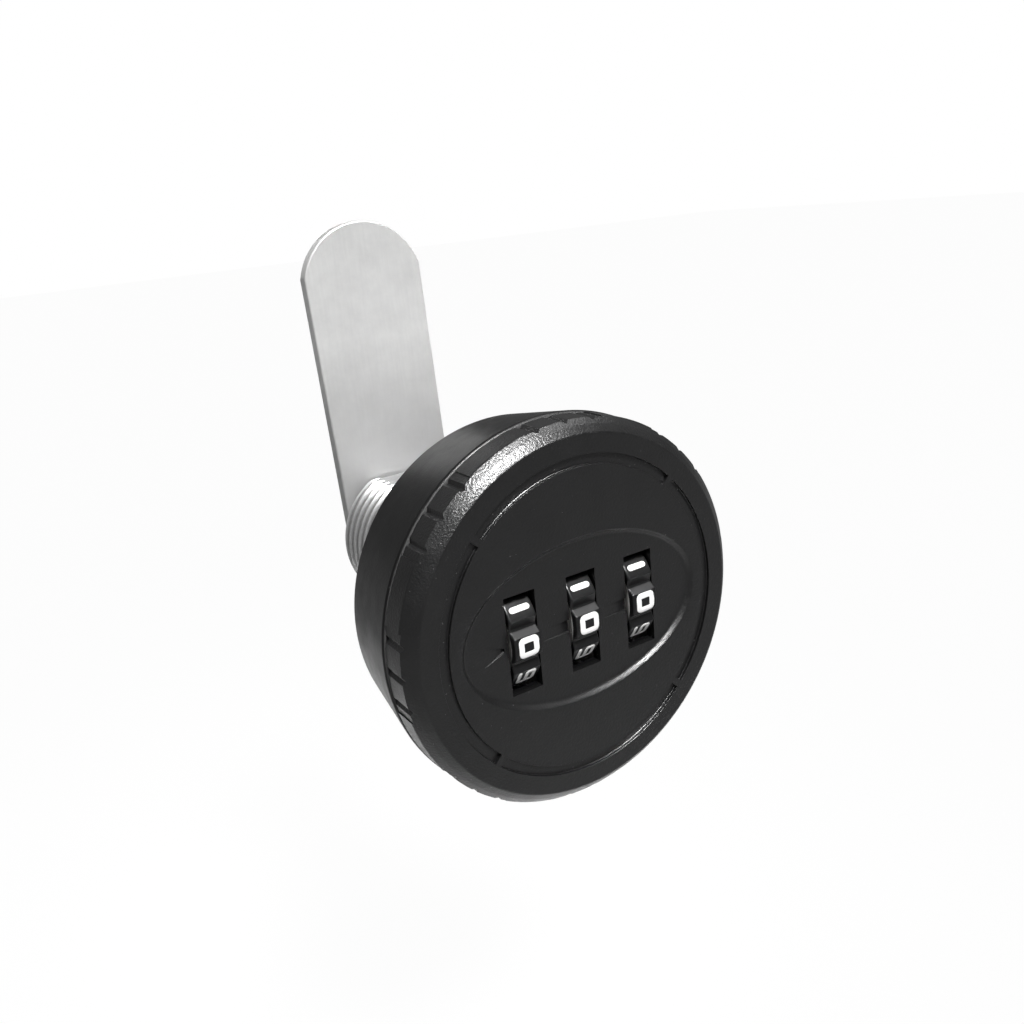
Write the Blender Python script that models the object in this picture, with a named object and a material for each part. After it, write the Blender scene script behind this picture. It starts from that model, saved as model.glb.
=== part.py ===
"""Three-dial combination cam lock with a round knob head.

Origin on the knob's turning axis, at the base's back face where the door's front lies.
+X is right and +Z is up seen from the front, and +Y points backwards through the door.
"""

from math import asin, cos, pi, radians, sin, sqrt

import bmesh
import bpy
from mathutils import Matrix, Vector

MM = 0.001

# Knob head
KNOB_RADIUS = 21.6 * MM
CHAMFER_WIDTH = 1.55 * MM
CHAMFER_DEPTH = 1.4 * MM
CHAMFER_BULGE = 0.12 * MM
KNOB_RISE = 4.45 * MM
FACE_THICKNESS = 1.8 * MM
SPIGOT_WALL = 1.4 * MM
SPIGOT_DEPTH = 0.8 * MM

# Trim on the knob's face
GROOVE_INSET = 2.15 * MM
GROOVE_WIDTH = 1.15 * MM
GROOVE_DEPTH = 0.4 * MM
GROOVE_BAR_WIDTH = 0.8 * MM
OVAL_HALF_LENGTH = 14.95 * MM
OVAL_HALF_HEIGHT = 8.87 * MM
OVAL_DEPTH = 0.55 * MM
OVAL_SLOPE = 0.45 * MM
ARROW_LENGTH = 2.7 * MM
ARROW_HALF_HEIGHT = 1.2 * MM
ARROW_SETBACK = 0.45 * MM
INDEX_SETBACK = 0.15 * MM
INDEX_HALF_HEIGHT = 0.63 * MM
INDEX_DEPTH = 0.3 * MM

# Grips round the knob's rim
GRIP_GROUPS = 8
NOTCHES_PER_GRIP = 3
NOTCH_SPACING = radians(9.3)
NOTCH_DEPTH = 0.42 * MM
NOTCH_HALF_ANGLE = radians(1.2)
LAND_DEPTH = 0.13 * MM

# Base housing
BASE_DEPTH = 11.05 * MM
BASE_RIM_PROUD = 0.15 * MM
BASE_TAPER = 1.85 * MM
BASE_WALL = 1.1 * MM
BASE_FLOOR = 1.0 * MM
BASE_EDGE = 0.2 * MM

# Barrel body
BARREL_RADIUS = 9.75 * MM
BARREL_HALF_FLATS = 8.5 * MM
BARREL_LENGTH = 26.2 * MM
BARREL_END_CHAMFER = 0.5 * MM
FLANGE_THICKNESS = 1.1 * MM
RING_WALL = 1.1 * MM
STOP_LUG_DEPTH = 1.1 * MM
STOP_LUG_HALF_ANGLE = radians(4.0)

# Panel nut
NUT_ACROSS_FLATS = 23.0 * MM
NUT_THICKNESS = 4.0 * MM
DOOR_THICKNESS = 2.5 * MM
NUT_CORNER_DROP = 0.9 * MM

# Dials
DIGITS = 10
DIAL_PITCH = 7.8 * MM
DIAL_WIDTH = 3.4 * MM
DIAL_EDGE = 0.25 * MM
DIAL_PROUD = 0.58 * MM
DIAL_ROW_DROP = 0.4 * MM
DIGIT_GROOVE_DEPTH = 0.62 * MM
DIGIT_GROOVE_HALF_ANGLE = radians(5.0)
DIGIT_GROOVE_FLOOR = radians(2.4)
WINDOW_SIDE_GAP = 0.2 * MM
WINDOW_END_GAP = 0.43 * MM

# Code discs, axle and click springs
DISC_OVERHANG = 1.7 * MM
DISC_EDGE = 0.15 * MM
FLANGE_LIP = 1.3 * MM
DISC_FLANGE = 0.5 * MM
DISC_INSET = 0.35 * MM
GATE_WIDTH = 2.4 * MM
GATE_DEPTH = 1.2 * MM
PEG_RADIUS = 0.45 * MM
PEG_ORBIT = 3.6 * MM
PEG_LENGTH = 0.9 * MM
AXLE_RADIUS = 1.4 * MM
AXLE_HEAD_RADIUS = 2.3 * MM
AXLE_HEAD_LENGTH = 0.7 * MM
SPRING_STRIP = 0.3 * MM
SPRING_STRIP_WIDTH = 2.4 * MM
CLICK_BITE = 0.4 * MM
CLICK_HALF_WIDTH = 1.3 * MM
CLICK_TAIL = 1.6 * MM

# Dial carriage and drive shaft
END_WALL = 1.6 * MM
TOP_RAIL = 1.6 * MM
LOWER_RAIL = 2.2 * MM
CARRIAGE_CORNER = 1.2 * MM
WALL_ROOT_HALF = 4.0 * MM
SPRING_HEADROOM = 1.6 * MM
SHAFT_RADIUS = 4.4 * MM
SHAFT_HEAD_RADIUS = 6.9 * MM
SHAFT_HEAD_THICKNESS = 1.0 * MM
TENON_SIDE = 6.0 * MM
STOP_TAB_HALF_WIDTH = 1.5 * MM
STOP_TAB_DEPTH = 3.0 * MM
STOP_TAB_INSET = 1.3 * MM

# Locking bolt
BOLT_THICKNESS = 1.8 * MM
BOLT_SETBACK = 1.0 * MM
BOLT_STROKE = 1.1 * MM
BOLT_BAR_HEIGHT = 1.7 * MM
BOLT_NOSE_HALF_WIDTH = 2.2 * MM
BOLT_BAR_OVERHANG = 1.3 * MM
FINGER_WIDTH = 0.9 * MM
FINGER_INSET = 0.25 * MM
BOLT_SPRING_RADIUS = 1.2 * MM
BOLT_SPRING_WIRE = 0.2 * MM
BOLT_SPRING_OFFSET = 4.8 * MM
BOLT_SPRING_TURNS = 2
BOLT_SPRING_ROOM = 1.7 * MM
BRACKET_HALF_WIDTH = 6.8 * MM
BRACKET_WEB = 2.0 * MM
BRACKET_SHELF = 0.9 * MM

# Cam and its fastening
CAM_REACH = 42.2 * MM
CAM_WIDTH = 16.4 * MM
CAM_THICKNESS = 1.8 * MM
CAM_TIP_RADIUS = 8.5 * MM
CAM_LEAN = radians(1.6)
CAM_STANDOFF = 0.4 * MM
CAM_EDGE = 0.15 * MM
WASHER_RADIUS = 5.6 * MM
WASHER_THICKNESS = 1.0 * MM
CAM_SCREW_RADIUS = 2.0 * MM
CAM_SCREW_HEAD_RADIUS = 4.0 * MM
CAM_SCREW_HEAD = 2.6 * MM
CAM_SCREW_REACH = 8.5 * MM

# Carriage screws
SCREW_RADIUS = 0.8 * MM
SCREW_HEAD_RADIUS = 1.4 * MM
SCREW_HEAD_DEPTH = 0.8 * MM
SCREW_LENGTH = 4.0 * MM
BOSS_RADIUS = 1.8 * MM
EAR_THICKNESS = 1.5 * MM
EAR_ROOT = 3.0 * MM
UPPER_EAR_ANGLE = radians(57.4)
LOWER_EAR_ANGLE = radians(51.2)

# Clearances
GAP = 0.3 * MM
STACK_GAP = 0.2 * MM
DIAL_SIDE_GAP = 0.35 * MM
DIAL_BACK_GAP = 0.28 * MM
DISC_TO_KNOB_GAP = 0.32 * MM
SPIGOT_END_GAP = 0.35 * MM
EAR_TO_BOLT_GAP = 0.57 * MM

# Places that follow from the sizes
FACE_RADIUS = KNOB_RADIUS - CHAMFER_WIDTH
GROOVE_OUTER = FACE_RADIUS - GROOVE_INSET
GROOVE_INNER = GROOVE_OUTER - GROOVE_WIDTH
BASE_FRONT_RADIUS = KNOB_RADIUS + BASE_RIM_PROUD
BASE_BACK_RADIUS = BASE_FRONT_RADIUS - BASE_TAPER
BASE_BORE = BASE_BACK_RADIUS - BASE_WALL
KNOB_FRONT = -(BASE_DEPTH + KNOB_RISE)
KNOB_BACK = -(BASE_DEPTH + GAP)
KNOB_CEILING = KNOB_FRONT + FACE_THICKNESS
FLOOR_FRONT = -BASE_FLOOR
FLANGE_BACK = FLOOR_FRONT - GAP
FLANGE_FRONT = FLANGE_BACK - FLANGE_THICKNESS
RING_OUTER = BASE_BORE - GAP
RING_INNER = RING_OUTER - RING_WALL
SPIGOT_OUTER = BASE_BORE - GAP
SPIGOT_INNER = SPIGOT_OUTER - SPIGOT_WALL
RING_FRONT = KNOB_BACK + SPIGOT_DEPTH + SPIGOT_END_GAP
DIAL_RADIUS = (FLANGE_FRONT - DIAL_BACK_GAP - KNOB_FRONT + DIAL_PROUD) / 2
DIAL_Y = KNOB_FRONT - DIAL_PROUD + DIAL_RADIUS
DIAL_Z = -DIAL_ROW_DROP
DISC_RADIUS = DIAL_Y - KNOB_CEILING - DISC_TO_KNOB_GAP
DIAL_STEP = 2 * pi / DIGITS
DIAL_PLACES = {"left": -DIAL_PITCH, "middle": 0.0, "right": DIAL_PITCH}
WINDOW_HALF_WIDTH = DIAL_WIDTH / 2 + WINDOW_SIDE_GAP
WINDOW_HALF_HEIGHT = sqrt(DIAL_RADIUS**2 - (DIAL_Y - KNOB_CEILING) ** 2) + WINDOW_END_GAP
FLANGE_RADIUS = DIAL_RADIUS - FLANGE_LIP
DISC_REACH = DIAL_WIDTH / 2 + DISC_OVERHANG
DISC_FLANGE_LEFT = -DIAL_WIDTH / 2 + DISC_INSET
DISC_FLANGE_RIGHT = DISC_FLANGE_LEFT + DISC_FLANGE
FINGER_OFFSET = -(DISC_REACH - FINGER_WIDTH / 2 - FINGER_INSET)
SLOT_LEFT = -DISC_REACH - GAP
SLOT_RIGHT = DIAL_WIDTH / 2 + GAP
CARRIAGE_FRONT = KNOB_CEILING + GAP
CARRIAGE_BACK = FLANGE_FRONT - GAP
CARRIAGE_LEFT = -DIAL_PITCH + SLOT_LEFT - END_WALL
CARRIAGE_RIGHT = DIAL_PITCH + SLOT_RIGHT + END_WALL
SLOT_BOTTOM = DIAL_Z - DIAL_RADIUS - DIAL_SIDE_GAP
SLOT_TOP = DIAL_Z + DIAL_RADIUS + SPRING_HEADROOM
CARRIAGE_TOP = SLOT_TOP + TOP_RAIL
CARRIAGE_BOTTOM = SLOT_BOTTOM - LOWER_RAIL
SHAFT_HEAD_FRONT = FLANGE_FRONT
SHAFT_HEAD_BACK = SHAFT_HEAD_FRONT + SHAFT_HEAD_THICKNESS
SHAFT_SHOULDER = BARREL_LENGTH + CAM_STANDOFF - STACK_GAP
CAM_FRONT = BARREL_LENGTH + CAM_STANDOFF
CAM_BACK = CAM_FRONT + CAM_THICKNESS
TENON_BACK = CAM_BACK - STACK_GAP
WASHER_FRONT = CAM_BACK + STACK_GAP
SCREW_HEAD_FRONT = WASHER_FRONT + WASHER_THICKNESS + STACK_GAP
BOLT_Y = DIAL_Y + BOLT_SETBACK
BAR_TOP = CARRIAGE_BOTTOM - GAP
BAR_BOTTOM = BAR_TOP - BOLT_BAR_HEIGHT
FINGER_TIP = DIAL_Z - DISC_RADIUS - GAP
NOSE_TIP = -(RING_INNER - GAP)
SHELF_TOP = BAR_BOTTOM - BOLT_STROKE - BOLT_SPRING_ROOM
SHELF_BOTTOM = SHELF_TOP - BRACKET_SHELF
STOP_TAB_REACH = RING_INNER - GAP
NUT_FRONT = DOOR_THICKNESS
EAR_BACK = BOLT_Y - BOLT_THICKNESS / 2 - EAR_TO_BOLT_GAP
EAR_FRONT = EAR_BACK - EAR_THICKNESS
UPPER_EAR_CIRCLE = RING_INNER - STOP_LUG_DEPTH - BOSS_RADIUS - GAP
LOWER_EAR_CIRCLE = SPIGOT_INNER - BOSS_RADIUS - GAP
UPPER_EAR_X = UPPER_EAR_CIRCLE * cos(UPPER_EAR_ANGLE)
UPPER_EAR_Z = UPPER_EAR_CIRCLE * sin(UPPER_EAR_ANGLE)
LOWER_EAR_X = LOWER_EAR_CIRCLE * cos(LOWER_EAR_ANGLE)
LOWER_EAR_Z = -LOWER_EAR_CIRCLE * sin(LOWER_EAR_ANGLE)
EAR_PLACES = [
    (-UPPER_EAR_X, UPPER_EAR_Z),
    (UPPER_EAR_X, UPPER_EAR_Z),
    (-LOWER_EAR_X, LOWER_EAR_Z),
    (LOWER_EAR_X, LOWER_EAR_Z),
]

# Facets round the turned pieces
FINE = 88
MEDIUM = 40
SMALL = 16


def clear_scene():
    for thing in list(bpy.data.objects):
        bpy.data.objects.remove(thing, do_unlink=True)


def material(name, colour, roughness, metallic=0.0):
    found = bpy.data.materials.new(name)
    found.use_nodes = True
    shader = found.node_tree.nodes["Principled BSDF"]
    shader.inputs["Base Color"].default_value = (*colour, 1.0)
    shader.inputs["Roughness"].default_value = roughness
    shader.inputs["Metallic"].default_value = metallic
    found.diffuse_color = (*colour, 1.0)
    return found


def finish_mesh(bm, name):
    """Weld, point the faces outwards and store the mesh."""
    bmesh.ops.remove_doubles(bm, verts=bm.verts, dist=0.000001)
    bmesh.ops.recalc_face_normals(bm, faces=bm.faces)
    mesh = bpy.data.meshes.new(name)
    bm.to_mesh(mesh)
    bm.free()
    return mesh


def new_object(name, mesh, finish=None, smooth=True):
    thing = bpy.data.objects.new(name, mesh)
    bpy.context.scene.collection.objects.link(thing)
    if finish:
        mesh.materials.append(finish)
    if smooth:
        mesh.shade_smooth()
        mesh.set_sharp_from_angle(angle=radians(32))
    return thing


def ring_point(radius, angle, y):
    return Vector((radius * cos(angle), y, radius * sin(angle)))


def turned_mesh(name, profile, steps, along_x=False, centre=(0, 0, 0)):
    """Spin a closed (radius, length) profile about the Y axis, or lay it along X."""
    bm = bmesh.new()
    points = [bm.verts.new((radius, length, 0)) for radius, length in profile]
    edges = [bm.edges.new((a, b)) for a, b in zip(points, points[1:] + points[:1])]
    bmesh.ops.spin(
        bm, geom=points + edges, cent=(0, 0, 0), axis=(0, 1, 0),
        angle=2 * pi, steps=steps, use_merge=True,
    )
    if along_x:
        bmesh.ops.rotate(bm, verts=bm.verts, matrix=Matrix.Rotation(-pi / 2, 3, "Z"))
    bmesh.ops.translate(bm, verts=bm.verts, vec=centre)
    bmesh.ops.dissolve_degenerate(bm, edges=bm.edges, dist=0.0000005)
    return finish_mesh(bm, name)


def slab_mesh(name, outline, front, back, bevel=0.0):
    """Extrude an (x, z) outline from y = front to y = back, with its rims bevelled."""
    bm = bmesh.new()
    face = bm.faces.new([bm.verts.new((x, front, z)) for x, z in outline])
    made = bmesh.ops.extrude_face_region(bm, geom=[face])["geom"]
    moved = [part for part in made if isinstance(part, bmesh.types.BMVert)]
    bmesh.ops.translate(bm, verts=moved, vec=(0, back - front, 0))
    if bevel:
        rims = [e for e in bm.edges if abs(e.verts[0].co.y - e.verts[1].co.y) < 1e-7]
        bmesh.ops.bevel(
            bm, geom=rims, offset=bevel, segments=1, profile=0.5,
            affect="EDGES", material=-1,
        )
    return finish_mesh(bm, name)


def boxes_mesh(name, boxes, bevel=0.0):
    """Separate blocks, each from its lowest corner to its highest."""
    bm = bmesh.new()
    for low, high in boxes:
        size = [b - a for a, b in zip(low, high)]
        middle = [(a + b) / 2 for a, b in zip(low, high)]
        bmesh.ops.create_cube(
            bm, size=1.0, matrix=Matrix.Translation(middle) @ Matrix.Diagonal((*size, 1.0))
        )
    if bevel:
        bmesh.ops.bevel(
            bm, geom=list(bm.edges), offset=bevel, segments=1, profile=0.5,
            affect="EDGES", material=-1,
        )
    return finish_mesh(bm, name)


def drill_mesh(name, places, radius, front, back, steps=SMALL):
    """Round holes along Y at several (x, z) places."""
    bm = bmesh.new()
    for x, z in places:
        middle = Matrix.Translation((x, (front + back) / 2, z)) @ Matrix.Rotation(pi / 2, 4, "X")
        bmesh.ops.create_cone(
            bm, cap_ends=True, segments=steps, radius1=radius, radius2=radius,
            depth=abs(back - front), matrix=middle,
        )
    return finish_mesh(bm, name)


def helper(name, mesh):
    """A cutter or a piece to be joined: never part of the model itself."""
    thing = new_object(name, mesh, smooth=False)
    thing.hide_render = True
    thing.display_type = "WIRE"
    return thing


def combine(target, name, mesh, operation):
    step = target.modifiers.new(name, "BOOLEAN")
    step.operation = operation
    step.solver = "EXACT"
    step.object = helper(target.name + "_" + name, mesh)
    return step


def cut(target, name, mesh):
    return combine(target, name, mesh, "DIFFERENCE")


def join(target, name, mesh):
    return combine(target, name, mesh, "UNION")


def pivot(name, place, parent=None):
    empty = bpy.data.objects.new(name, None)
    bpy.context.scene.collection.objects.link(empty)
    empty.parent = parent
    empty.location = Vector(place) - (Vector(parent["place"]) if parent else Vector())
    empty["place"] = tuple(place)
    return empty


def hang(thing, empty):
    """Parent a piece to its joint's empty, with the piece's origin on the joint's axis."""
    thing.data.transform(Matrix.Translation(-Vector(empty["place"])))
    thing.parent = empty
    return thing


def d_outline(radius, half_flats, steps=MEDIUM):
    """A circle with a flat at the top and the bottom."""
    corner = asin(half_flats / radius)
    sweep = [-corner + 2 * corner * i / (steps // 2) for i in range(steps // 2 + 1)]
    angles = sweep + [pi + a for a in sweep]
    return [(radius * cos(a), radius * sin(a)) for a in angles]


def grip_outline():
    """Section through the knob's rim: three V notches in a shallow land, eight times round."""
    points = []
    half_span = NOTCH_SPACING * (NOTCHES_PER_GRIP - 1) / 2
    land_end = half_span + 3.0 * NOTCH_HALF_ANGLE
    clear_radius = KNOB_RADIUS * 1.03
    for group in range(GRIP_GROUPS):
        middle = 2 * pi * group / GRIP_GROUPS
        points.append((clear_radius, middle - land_end - radians(0.4)))
        points.append((KNOB_RADIUS - LAND_DEPTH, middle - land_end))
        for notch in range(NOTCHES_PER_GRIP):
            centre = middle - half_span + notch * NOTCH_SPACING
            points.append((KNOB_RADIUS - LAND_DEPTH, centre - NOTCH_HALF_ANGLE))
            points.append((KNOB_RADIUS - NOTCH_DEPTH, centre))
            points.append((KNOB_RADIUS - LAND_DEPTH, centre + NOTCH_HALF_ANGLE))
            if notch < NOTCHES_PER_GRIP - 1:
                points.append((KNOB_RADIUS - LAND_DEPTH * 0.6, centre + NOTCH_SPACING / 2))
        points.append((KNOB_RADIUS - LAND_DEPTH, middle + land_end))
        points.append((clear_radius, middle + land_end + radians(0.4)))
        points.append((clear_radius, middle + pi / GRIP_GROUPS))
    return [(r * cos(a), r * sin(a)) for r, a in points]


def oval_mesh():
    """The cutter of the oval recess, with sloping walls."""
    bm = bmesh.new()
    rim = []
    for side in (-1, 1):
        shrink = side * OVAL_SLOPE
        y = KNOB_FRONT + side * OVAL_DEPTH
        ring = []
        for i in range(FINE):
            a = 2 * pi * i / FINE
            x = (OVAL_HALF_LENGTH - shrink) * cos(a)
            z = (OVAL_HALF_HEIGHT - shrink) * sin(a)
            ring.append(bm.verts.new((x, y, z)))
        rim.append([bm.edges.new((a, b)) for a, b in zip(ring, ring[1:] + ring[:1])])
        bm.faces.new(ring)
    bmesh.ops.bridge_loops(bm, edges=rim[0] + rim[1])
    return finish_mesh(bm, "oval_recess")


def ring_groove_mesh():
    """Four arcs of the ring groove, which leave four flush bars at 45 degrees."""
    bm = bmesh.new()
    bar = GROOVE_BAR_WIDTH / 2 / GROOVE_INNER
    low, high = KNOB_FRONT + GROOVE_DEPTH, KNOB_FRONT - GROOVE_DEPTH
    corners = [(GROOVE_INNER, low), (GROOVE_OUTER, low), (GROOVE_OUTER, high), (GROOVE_INNER, high)]
    for quarter in range(4):
        start = pi / 4 + quarter * pi / 2 + bar
        section = bm.faces.new([bm.verts.new(ring_point(r, start, y)) for r, y in corners])
        bmesh.ops.spin(
            bm, geom=[section], cent=(0, 0, 0), axis=(0, -1, 0),
            angle=pi / 2 - 2 * bar, steps=FINE // 4,
        )
    return finish_mesh(bm, "ring_groove")


def wedge_mesh(name, wedges):
    """Cutters that start flush at one end and deepen towards the other."""
    bm = bmesh.new()
    floor = KNOB_FRONT + OVAL_DEPTH
    flush = floor - 0.02 * MM
    for start, end, half_start, half_end, depth in wedges:
        low = [
            (start, flush, DIAL_Z - half_start),
            (start, flush, DIAL_Z + half_start),
            (end, floor + depth, DIAL_Z + half_end),
            (end, floor + depth, DIAL_Z - half_end),
        ]
        bottom = [bm.verts.new(p) for p in low]
        top = [bm.verts.new((x, floor - OVAL_DEPTH, z)) for x, _, z in low]
        bm.faces.new(bottom)
        bm.faces.new(top[::-1])
        for i in range(4):
            j = (i + 1) % 4
            bm.faces.new((bottom[i], top[i], top[j], bottom[j]))
    return finish_mesh(bm, name)


def window_boxes(front, back):
    low, high = DIAL_Z - WINDOW_HALF_HEIGHT, DIAL_Z + WINDOW_HALF_HEIGHT
    return [
        ((x - WINDOW_HALF_WIDTH, front, low), (x + WINDOW_HALF_WIDTH, back, high))
        for x in DIAL_PLACES.values()
    ]


def make_knob_shell(finish):
    middle = (FACE_RADIUS + KNOB_RADIUS) / 2 + CHAMFER_BULGE
    profile = [
        (0, KNOB_FRONT),
        (FACE_RADIUS - 0.2 * MM, KNOB_FRONT),
        (FACE_RADIUS + 0.15 * MM, KNOB_FRONT + 0.1 * MM),
        (middle, KNOB_FRONT + CHAMFER_DEPTH / 2 - CHAMFER_BULGE),
        (KNOB_RADIUS - 0.1 * MM, KNOB_FRONT + CHAMFER_DEPTH - 0.1 * MM),
        (KNOB_RADIUS, KNOB_FRONT + CHAMFER_DEPTH + 0.15 * MM),
        (KNOB_RADIUS, KNOB_BACK),
        (SPIGOT_OUTER, KNOB_BACK),
        (SPIGOT_OUTER, KNOB_BACK + SPIGOT_DEPTH),
        (SPIGOT_INNER, KNOB_BACK + SPIGOT_DEPTH),
        (SPIGOT_INNER, KNOB_CEILING),
        (0, KNOB_CEILING),
    ]
    knob = new_object("knob_shell", turned_mesh("knob_shell", profile, FINE), finish)
    grips = slab_mesh("grips", grip_outline(), KNOB_FRONT - GAP, KNOB_BACK + 4 * SPIGOT_DEPTH)
    combine(knob, "grips", grips, "INTERSECT")
    bosses = drill_mesh("bosses", EAR_PLACES, BOSS_RADIUS, KNOB_CEILING - 0.2 * MM, EAR_FRONT - GAP)
    join(knob, "bosses", bosses)
    cut(knob, "ring_groove", ring_groove_mesh())
    cut(knob, "oval", oval_mesh())
    windows = boxes_mesh("windows", window_boxes(KNOB_FRONT - GAP, KNOB_CEILING + GAP))
    cut(knob, "windows", windows)
    channels = []
    for x in (-DIAL_PITCH, 0.0):
        start = x + WINDOW_HALF_WIDTH + INDEX_SETBACK
        end = x + DIAL_PITCH - WINDOW_HALF_WIDTH + GAP / 3
        channels.append((start, end, INDEX_HALF_HEIGHT, INDEX_HALF_HEIGHT, INDEX_DEPTH))
    tip = -DIAL_PITCH - WINDOW_HALF_WIDTH - ARROW_SETBACK
    arrow = (tip - ARROW_LENGTH, tip, ARROW_HALF_HEIGHT, ARROW_HALF_HEIGHT / 10, INDEX_DEPTH)
    cut(knob, "index", wedge_mesh("index", channels + [arrow]))
    deep = EAR_BACK - SCREW_LENGTH - GAP
    holes = drill_mesh("screw_holes", EAR_PLACES, SCREW_RADIUS + GAP, deep, EAR_FRONT)
    cut(knob, "screw_holes", holes)
    return knob


def make_base_housing(finish):
    taper = (BASE_FRONT_RADIUS - BASE_BACK_RADIUS) / BASE_DEPTH
    profile = [
        (BASE_BORE, -BASE_DEPTH),
        (BASE_FRONT_RADIUS - 0.2 * MM, -BASE_DEPTH),
        (BASE_FRONT_RADIUS, -BASE_DEPTH + 0.2 * MM),
        (BASE_BACK_RADIUS + taper * BASE_EDGE, -BASE_EDGE),
        (BASE_BACK_RADIUS - BASE_EDGE, 0),
        (0, 0),
        (0, FLOOR_FRONT),
        (BASE_BORE, FLOOR_FRONT),
    ]
    base = new_object("base_housing", turned_mesh("base_housing", profile, FINE), finish)
    hole = d_outline(BARREL_RADIUS + GAP, BARREL_HALF_FLATS + GAP)
    cut(base, "barrel_hole", slab_mesh("barrel_hole", hole, FLOOR_FRONT - GAP, GAP))
    return base


def lug_outline(angle):
    """An (x, z) outline of one stop lug on the ring wall's inside."""
    sides = []
    for radius in (RING_INNER - STOP_LUG_DEPTH, RING_INNER + RING_WALL / 2):
        sides.append([(radius, angle - STOP_LUG_HALF_ANGLE), (radius, angle + STOP_LUG_HALF_ANGLE)])
    points = sides[0] + sides[1][::-1]
    return [(r * cos(a), r * sin(a)) for r, a in points]


def make_barrel_body(finish):
    counterbore = SHAFT_HEAD_RADIUS + GAP
    bore = SHAFT_RADIUS + GAP
    profile = [
        (counterbore, FLANGE_FRONT),
        (RING_INNER, FLANGE_FRONT),
        (RING_INNER, RING_FRONT),
        (RING_OUTER, RING_FRONT),
        (RING_OUTER, FLANGE_BACK),
        (BARREL_RADIUS, FLANGE_BACK),
        (BARREL_RADIUS, BARREL_LENGTH - BARREL_END_CHAMFER),
        (BARREL_RADIUS - BARREL_END_CHAMFER, BARREL_LENGTH),
        (bore, BARREL_LENGTH),
        (bore, SHAFT_HEAD_BACK + GAP),
        (counterbore, SHAFT_HEAD_BACK + GAP),
    ]
    barrel = new_object("barrel_body", turned_mesh("barrel_body", profile, FINE), finish)
    reach = BARREL_RADIUS + GAP
    end = BARREL_LENGTH + GAP
    flats = [
        ((-reach, FLANGE_BACK, BARREL_HALF_FLATS), (reach, end, reach)),
        ((-reach, FLANGE_BACK, -reach), (reach, end, -BARREL_HALF_FLATS)),
    ]
    cut(barrel, "flats", boxes_mesh("flats", flats))
    half = BOLT_NOSE_HALF_WIDTH + GAP
    back = BOLT_Y + BOLT_THICKNESS / 2 + GAP
    outside = RING_OUTER + GAP
    notches = boxes_mesh("bolt_notches", [
        ((-half, RING_FRONT - GAP, -outside), (half, back, -RING_INNER + 1.0 * MM)),
        ((RING_INNER - 1.0 * MM, RING_FRONT - GAP, -half), (outside, back, half)),
    ])
    cut(barrel, "bolt_notches", notches)
    tab = asin(STOP_TAB_HALF_WIDTH / (RING_INNER - STOP_LUG_DEPTH))
    clear = tab + STOP_LUG_HALF_ANGLE + GAP / RING_INNER
    for name, angle in (("closed_stop", pi / 2 - clear), ("open_stop", pi + clear)):
        lug = slab_mesh(name, lug_outline(angle), RING_FRONT + GAP, FLANGE_FRONT + GAP)
        join(barrel, name, lug)
    return barrel


def make_panel_nut(finish):
    corner = NUT_ACROSS_FLATS / sqrt(3)
    outline = [(corner * cos(i * pi / 3), corner * sin(i * pi / 3)) for i in range(6)]
    back = NUT_FRONT + NUT_THICKNESS
    nut = new_object("panel_nut", slab_mesh("panel_nut", outline, NUT_FRONT, back), finish)
    flat = NUT_ACROSS_FLATS / 2
    dome = [
        (0, NUT_FRONT - GAP),
        (flat - GAP, NUT_FRONT - GAP),
        (flat + GAP, NUT_FRONT),
        (corner + GAP, NUT_FRONT + NUT_CORNER_DROP),
        (corner + GAP, back - NUT_CORNER_DROP),
        (flat + GAP, back),
        (flat - GAP, back + GAP),
        (0, back + GAP),
    ]
    combine(nut, "corner_chamfer", turned_mesh("corner_chamfer", dome, MEDIUM), "INTERSECT")
    bore = BARREL_RADIUS + STACK_GAP
    cut(nut, "thread", drill_mesh("thread", [(0, 0)], bore, NUT_FRONT - GAP, back + GAP, MEDIUM))
    return nut


def wheel_outline():
    """Ten round lands with a V groove between each pair; digit 0 faces the front."""
    points = []
    land_half = DIAL_STEP / 2 - DIGIT_GROOVE_HALF_ANGLE
    for digit in range(DIGITS):
        middle = digit * DIAL_STEP
        for step in range(5):
            points.append((DIAL_RADIUS, middle - land_half + land_half * step / 2))
        groove = middle + DIAL_STEP / 2
        floor = DIAL_RADIUS - DIGIT_GROOVE_DEPTH
        points.append((floor, groove - DIGIT_GROOVE_FLOOR / 2))
        points.append((floor, groove + DIGIT_GROOVE_FLOOR / 2))
    return [(-r * cos(a), r * sin(a)) for r, a in points]


def along_x(mesh, x):
    """Turn a slab that was built along Y, with its outline in x and z, to lie along X."""
    swap = Matrix(((0, 1, 0, x), (1, 0, 0, DIAL_Y), (0, 0, 1, DIAL_Z), (0, 0, 0, 1)))
    mesh.transform(swap)
    mesh.flip_normals()
    return mesh


def axle_hole_mesh(radius, start, end, steps=SMALL):
    profile = [(0, start), (radius, start), (radius, end), (0, end)]
    return turned_mesh("axle_hole", profile, steps, True, (0, DIAL_Y, DIAL_Z))


def peg_mesh(name, radius, x_start, x_end):
    """Two drive pegs, or their holes, on opposite sides of the axle."""
    bm = bmesh.new()
    for side in (1, -1):
        middle = ((x_start + x_end) / 2, DIAL_Y + side * PEG_ORBIT, DIAL_Z)
        bmesh.ops.create_cone(
            bm, cap_ends=True, segments=12, radius1=radius, radius2=radius, depth=x_end - x_start,
            matrix=Matrix.Translation(middle) @ Matrix.Rotation(pi / 2, 4, "Y"),
        )
    return finish_mesh(bm, name)


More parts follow.
